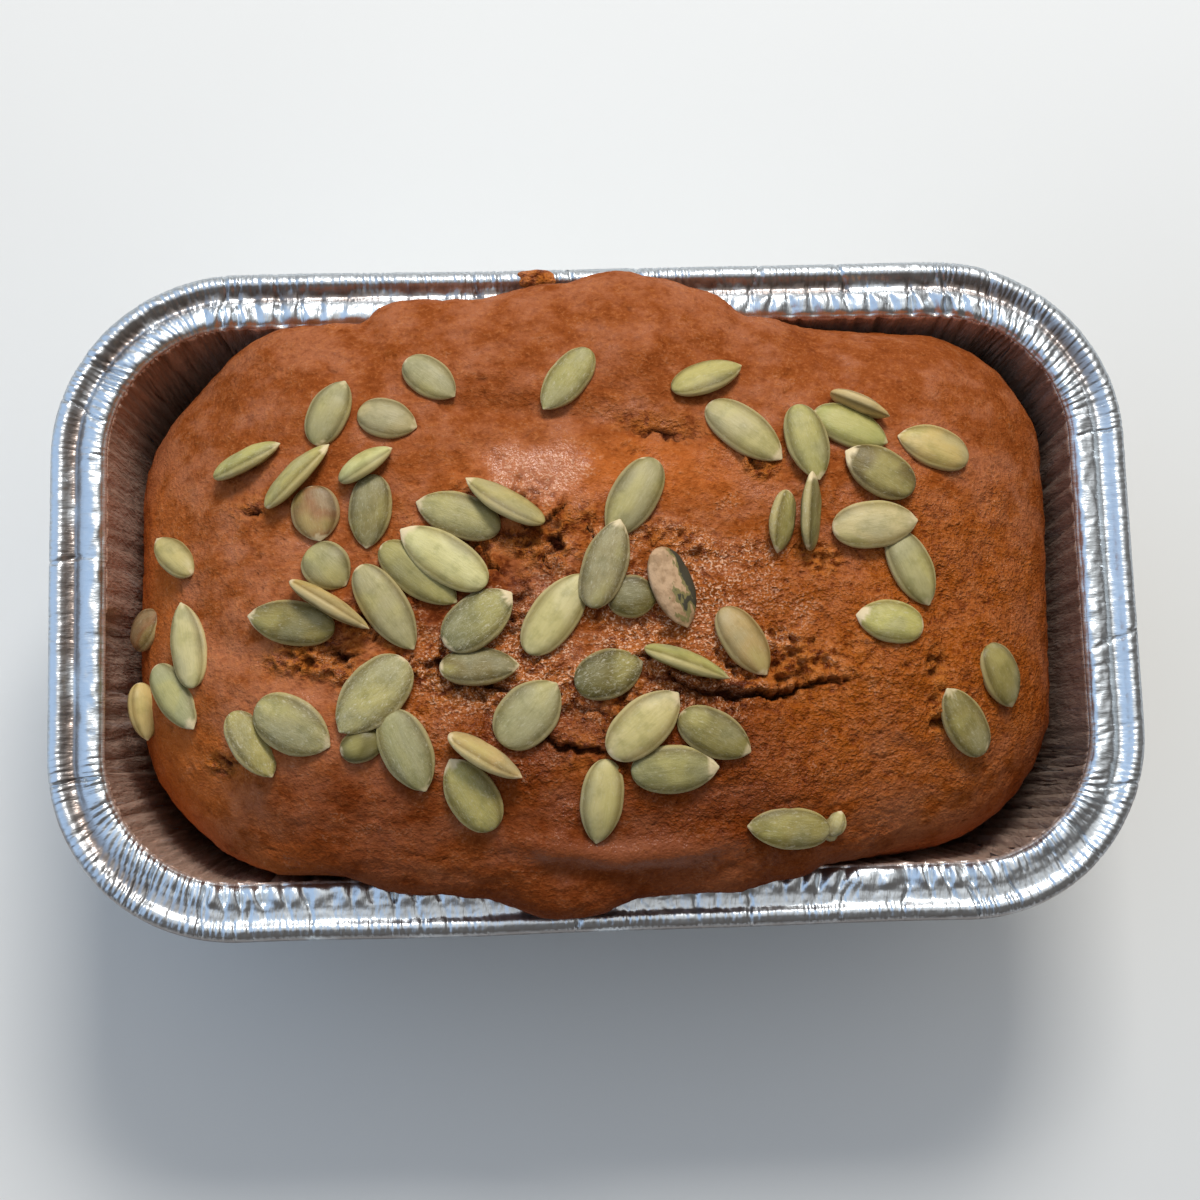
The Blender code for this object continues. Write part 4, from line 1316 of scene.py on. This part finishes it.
def chance(number, turn, seed):
    """A number from 0 to 1 for each whole number, as if drawn by chance."""
    return np.sin(number * turn + seed) * CHANCE_SPREAD % 1.0


def crimps(walk, pitch, width, seed, missing):
    """Folds across a walk: depth of the creases, slope of what lies between, and which way it leans."""
    count = round(RIM_ROUND / pitch)
    phase = walk * count / RIM_ROUND + 0.3 * on_track(walk, pitch * 2.1, seed)
    part = phase % 1.0
    number = np.floor(phase) % count
    depth_turn, lean_turn = CHANCE_TURNS
    before = chance(number, depth_turn, seed)
    after = chance((number + 1.0) % count, depth_turn, seed)
    nearest = np.where(part < 0.5, before, after)
    depth = np.where(nearest > missing, 0.45 + 0.55 * nearest, 0.0)
    fold = bell(np.minimum(part, 1.0 - part) * pitch, width)
    crease = fold * depth
    lean = (chance(number, lean_turn, seed) - 0.5) * 2.0
    return crease, lean * (part - 0.5) * (1.0 - fold), lean


def flange_rings(stations, walk, settings):
    """Rings over the rim from the wall's top to the rolled edge, crimped and wrinkled."""
    shown = through([np.array(pair) for pair in FLANGE[:-HEM_POINTS]], FLANGE_STEPS)
    profile = shown + [np.array(pair) for pair in FLANGE[-HEM_POINTS - 1 :]]
    on_long = smooth((np.abs(stations.outward[:, 1]) - 0.9) / 0.1)
    on_short = smooth((np.abs(stations.outward[:, 0]) - 0.97) / 0.03)
    on_corner = 1.0 - np.maximum(on_long, on_short)
    pitch = settings.crimp_pitch / MM
    depth = settings.crimp_depth / MM
    sway = SWAY * on_track(walk, SWAY_LENGTH, 2.0)
    lift = LIFT * on_track(walk, LIFT_LENGTH, 6.0)
    slope = 0.15 + 0.9 * on_track(walk, 13.0, 12.0)
    rings = []
    for inset, drop in profile:
        shallow = 0.5 * smooth(-stations.outward[:, 1]) * float(bell(inset - VALLEY_INSET, 1.1))
        on_ridge = float(smooth((inset - 3.9) / 0.9))
        on_valley = float(bell(inset - VALLEY_INSET, 1.0))
        on_bead = float(smooth((2.6 - inset) / 0.8))
        across = inset - RIDGE_INSET
        slanted = walk + slope * across
        share, width, *draw = RIDGE_CRIMPS
        wide = between(width, RIDGE_CRIMP_FOOT, float(smooth((inset - 4.2) / 2.4)))
        crease, lean, tip = crimps(slanted, pitch * share, wide, *draw)
        amount = on_long * np.minimum(strength(walk, 16.0, 1.0), 1.3) * (on_ridge + 0.3 * on_valley)
        dip = depth * amount * (1.15 * crease + 1.5 * lean + 0.15 * tip * across)
        share, *draw = CORNER_FOLDS
        crease, lean, tip = crimps(slanted, pitch * share, *draw)
        amount = (on_corner + 0.35 * on_short + 0.15 * on_long) * strength(walk, 6.0, 4.0)
        amount = amount * (on_ridge + 0.45 * on_valley + 0.35 * on_bead)
        dip = dip + depth * amount * (0.45 * crease + 0.35 * lean + 0.06 * tip * across)
        share, *draw = LONG_CREASES
        wander = 0.25 * np.sin(inset * 1.1 + walk * 30.0 * math.pi / RIM_ROUND)
        crease, _, _ = crimps(slanted + wander, pitch * share, *draw)
        dip = dip + depth * 0.75 * crease * float(smooth((7.2 - inset) / 1.2))
        share, *draw = BEAD_WRINKLES
        crease, lean, _ = crimps(walk + 0.1 * inset, pitch * share, *draw)
        dip = dip + depth * on_bead * (0.20 + on_long * 0.20) * strength(walk, 7.0, 14.0) * (crease + lean)
        crumple = on_circle(walk, inset)
        dip = dip + CRUMPLE_DEPTH * on_ridge * field(crumple, CRUMPLE_SIZE, 31.0)
        dip = dip + DENT_DEPTH * field(crumple, DENT_SIZE, 37.0)
        held = inset + SHEET / 2.0
        ring = stations.outline(
            RIM_LENGTH / 2.0 - held, RIM_WIDTH / 2.0 - held, (RIM_CORNER - held,) * 4
        )
        outer = float(smooth(1.0 - inset / WALL_INSET))
        ring += stations.outward * (outer * sway)[:, None]
        ring[:, 2] = PAN_HEIGHT - SHEET / 2.0 - drop * (1.0 - shallow) - dip * smooth((7.9 - inset) / 0.9)
        ring[:, 2] += outer * lift
        rings.append(ring)
    return rings, [inset for inset, _ in profile]


def wall_rings(stations, walk, settings):
    """Rings from the base's flat up the fluted wall, without the wall's top."""
    top = PAN_HEIGHT - WALL_DROP
    base = SHEET / 2.0
    corner = 1.0 - (np.abs(stations.outward[:, :2]).max(axis=1) > 0.99)
    rings = []
    for inset, height in ((BASE_FILLET, base), (BASE_FILLET * 0.3, base + BASE_FILLET * 0.3)):
        half_length, half_width, radius = wall_size(height)
        rings.append(
            stations.outline(half_length - inset, half_width - inset, (radius - inset,) * 4, height)
        )
    depth = settings.flute_depth / MM
    for height in np.linspace(base + BASE_FILLET, top - 1.2, WALL_RINGS):
        half_length, half_width, radius = wall_size(height)
        ring = stations.outline(half_length, half_width, (radius,) * 4, height)
        amount = smooth((height - 3.0) / 12.0)
        slanted = walk + FLUTE_SLANT * (top - height)
        crease, lean, _ = crimps(slanted, *FLUTES)
        flutes = (crease + lean) * strength(walk, 18.0, 22.0)
        crease, lean, _ = crimps(slanted, *FINE_FLUTES)
        flutes += (0.35 + 0.65 * corner) * (crease + lean) * strength(walk, 7.0, 26.0)
        stepped = (stations.outward[:, 0] < -0.99) * smooth((LEFT_STEP_Y - ring[:, 1]) / 0.25)
        flutes += LEFT_STEP_DEPTH * stepped
        ring += stations.outward * (depth * amount * flutes)[:, None]
        rings.append(ring)
    return rings


def make_sheet(name, rings, stations, insets, closed, finishes):
    """A sheet of foil from rings, closed over the first one or open, bare below and used above."""
    travel = np.array(insets)[:, None] * np.ones(stations.count)
    drops = np.maximum(PAN_HEIGHT - 1.2 - rings[:, :, 2], 0.0) * (travel > 7.0)
    local = on_circle(np.broadcast_to(rim_walk(stations), travel.shape), travel + drops)
    grease = smooth((travel - GREASE_START) / 0.5)
    # This mask is painted shade and reflection: the valley on the far and left sides, the hem on the near
    # side and the greased wall at the right end.
    shade = np.maximum(stations.outward[:, 1], -0.6 * stations.outward[:, 0])
    dull = bell(travel - VALLEY_SHADE_INSET, VALLEY_SHADE_WIDTH) * smooth((shade + 0.1) / 0.7)
    dull = np.maximum(dull, smooth((-travel - 0.1) / 0.3) * smooth(-2.0 * stations.outward[:, 1]))
    dull = np.maximum(dull, grease * smooth(1.6 * stations.outward[:, 0] - 0.4))
    faces = ring_faces(len(rings), stations.count)
    piece = make_piece(
        name,
        rings.reshape(-1, 3),
        faces if closed else faces[1:],
        finishes[0],
        local=local.reshape(-1, 3),
        grease=grease.ravel(),
        dull=dull.ravel(),
    )
    piece.data.materials.append(finishes[1])
    thicken = piece.modifiers.new("sheet", "SOLIDIFY")
    thicken.material_offset = 1
    thicken.thickness = SHEET * MM
    thicken.offset = 0.0
    thicken.use_even_offset = False
    dress(piece, "foil_pan")


def make_pan(settings):
    """The rim, and the wall with the base, which has half as many points round it."""
    finishes = [foil_finish(settings, used) for used in (False, True)]
    stations = Stations(*RIM_STEPS)
    flange, insets = flange_rings(stations, rim_walk(stations), settings)
    make_sheet("foil_pan_rim", np.array(flange), stations, insets, False, finishes)
    fewer = Stations(*(steps // 2 for steps in RIM_STEPS))
    wall = wall_rings(fewer, rim_walk(fewer), settings) + [flange[0][::2]]
    make_sheet("foil_pan_body", np.array(wall), fewer, [WALL_INSET] * len(wall), True, finishes)


# The stage


def make_floor(settings):
    """A large pale floor with faint clouds in its colour."""
    graph = Graph(bpy.data.materials.new("pale_floor"))
    cloud = graph.noise(graph.place(90.0, 90.0, 90.0), 2.0)
    shade = [channel * 0.96 for channel in settings.floor]
    finish = graph.finish(base_color=graph.mix(cloud, settings.floor, shade), roughness=0.7)
    bpy.ops.mesh.primitive_plane_add(size=FLOOR_SIZE)
    floor = bpy.context.active_object
    floor.name = "floor"
    floor.data.materials.append(finish)


def make_window(settings):
    """One window beyond the far side, aimed at the loaf's top."""
    data = bpy.data.lights.new("window", "AREA")
    data.shape = "RECTANGLE"
    data.size, data.size_y = WINDOW_SIZE
    data.energy = settings.window
    data.color = WINDOW_COLOUR
    light = bpy.data.objects.new("window", data)
    light.location = WINDOW_PLACE
    aim = Vector((0.0, 0.0, PAN_HEIGHT * MM)) - light.location
    light.rotation_euler = aim.to_track_quat("-Z", "Y").to_euler()
    bpy.context.scene.collection.objects.link(light)


def make_world(settings):
    """A room lit from overhead and the far side, bluish on the left and dim on the near side."""
    world = bpy.data.worlds.new("room")
    bpy.context.scene.world = world
    graph = Graph(world)
    towards = graph.node("ShaderNodeTexCoord", output="Generated")
    shaded = settings.dim
    for centre, low, high, colour in SKY:
        sockets = {0: towards, 1: centre}
        facing = graph.node("ShaderNodeVectorMath", {"operation": "DOT_PRODUCT"}, sockets, "Value")
        shaded = graph.mix(graph.rise(facing, low, high), shaded, colour)
    background = graph.node("ShaderNodeBackground", sockets={"Color": shaded, "Strength": settings.room})
    graph.node("ShaderNodeOutputWorld", sockets={"Surface": background}, output=None)


def make_camera():
    """A camera over the rim's middle, as far off and as turned as its constants say."""
    pitch, yaw, roll = (math.radians(angle) for angle in (CAMERA_PITCH, CAMERA_YAW, CAMERA_ROLL))
    turn = Matrix.Rotation(roll, 3, "Z") @ Matrix.Rotation(-pitch, 3, "X") @ Matrix.Rotation(-yaw, 3, "Y")
    turn = turn.transposed()
    data = bpy.data.cameras.new("camera")
    data.sensor_width = SENSOR
    data.lens = SENSOR * PIXELS_PER_MM * CAMERA_DISTANCE / PICTURE_SIZE
    data.shift_x = PICTURE_SHIFT[0] / PICTURE_SIZE
    data.shift_y = PICTURE_SHIFT[1] / PICTURE_SIZE
    data.clip_start = NEAREST
    camera = bpy.data.objects.new("camera", data)
    rim_middle = Vector((0.0, 0.0, PAN_HEIGHT))
    camera.location = (rim_middle + turn @ Vector((0.0, 0.0, CAMERA_DISTANCE))) * MM
    camera.rotation_euler = turn.to_euler()
    bpy.context.scene.collection.objects.link(camera)
    bpy.context.scene.camera = camera


class BREAD_OT_crust(bpy.types.Operator):
    """Bake the loaf with its cracked crust"""

    bl_idname = "bread.crust"
    bl_label = "Bake Crust"

    def execute(self, context):
        settings = context.scene.bread_crust
        finish = crust_finish(settings)
        make_crust(finish, settings)
        make_drip(finish)
        return {"FINISHED"}


class BREAD_OT_seeds(bpy.types.Operator):
    """Strew the pumpkin seeds over the crust"""

    bl_idname = "bread.seeds"
    bl_label = "Strew Seeds"

    def execute(self, context):
        make_seeds(context.scene.bread_crust, context.scene.bread_seeds)
        return {"FINISHED"}


class BREAD_OT_pan(bpy.types.Operator):
    """Press the foil pan with its crimped rim"""

    bl_idname = "bread.pan"
    bl_label = "Press Pan"

    def execute(self, context):
        make_pan(context.scene.bread_pan)
        return {"FINISHED"}


class BREAD_OT_stage(bpy.types.Operator):
    """Set the floor, the light and the camera"""

    bl_idname = "bread.stage"
    bl_label = "Set Stage"

    def execute(self, context):
        settings = context.scene.bread_stage
        make_floor(settings)
        make_world(settings)
        make_window(settings)
        make_camera()
        context.scene.view_settings.view_transform = "Standard"
        return {"FINISHED"}


class BREAD_PT_panel(bpy.types.Panel):
    """Buttons and settings of the bread"""

    bl_idname = "BREAD_PT_panel"
    bl_label = "Pumpkin Bread"
    bl_space_type = "VIEW_3D"
    bl_region_type = "UI"
    bl_category = "Bread"

    def draw(self, context):
        layout = self.layout
        for operator, name in STEPS:
            box = layout.box()
            settings = getattr(context.scene, name)
            for label in settings.__annotations__:
                box.prop(settings, label)
            box.operator(operator.bl_idname)


STEPS = (
    (BREAD_OT_stage, "bread_stage"),
    (BREAD_OT_pan, "bread_pan"),
    (BREAD_OT_crust, "bread_crust"),
    (BREAD_OT_seeds, "bread_seeds"),
)
GROUPS = {
    "bread_crust": BreadCrust,
    "bread_seeds": BreadSeeds,
    "bread_pan": BreadPan,
    "bread_stage": BreadStage,
}
CLASSES = (*GROUPS.values(), *(operator for operator, _ in STEPS), BREAD_PT_panel)


def register():
    for kind in CLASSES:
        bpy.utils.register_class(kind)
    for name, group in GROUPS.items():
        setattr(bpy.types.Scene, name, PointerProperty(type=group))


def unregister():
    for name in GROUPS:
        delattr(bpy.types.Scene, name)
    for kind in reversed(CLASSES):
        bpy.utils.unregister_class(kind)


def main():
    register()
    bpy.ops.bread.stage()
    bpy.ops.bread.pan()
    bpy.ops.bread.crust()
    bpy.ops.bread.seeds()


if __name__ == "__main__":
    main()
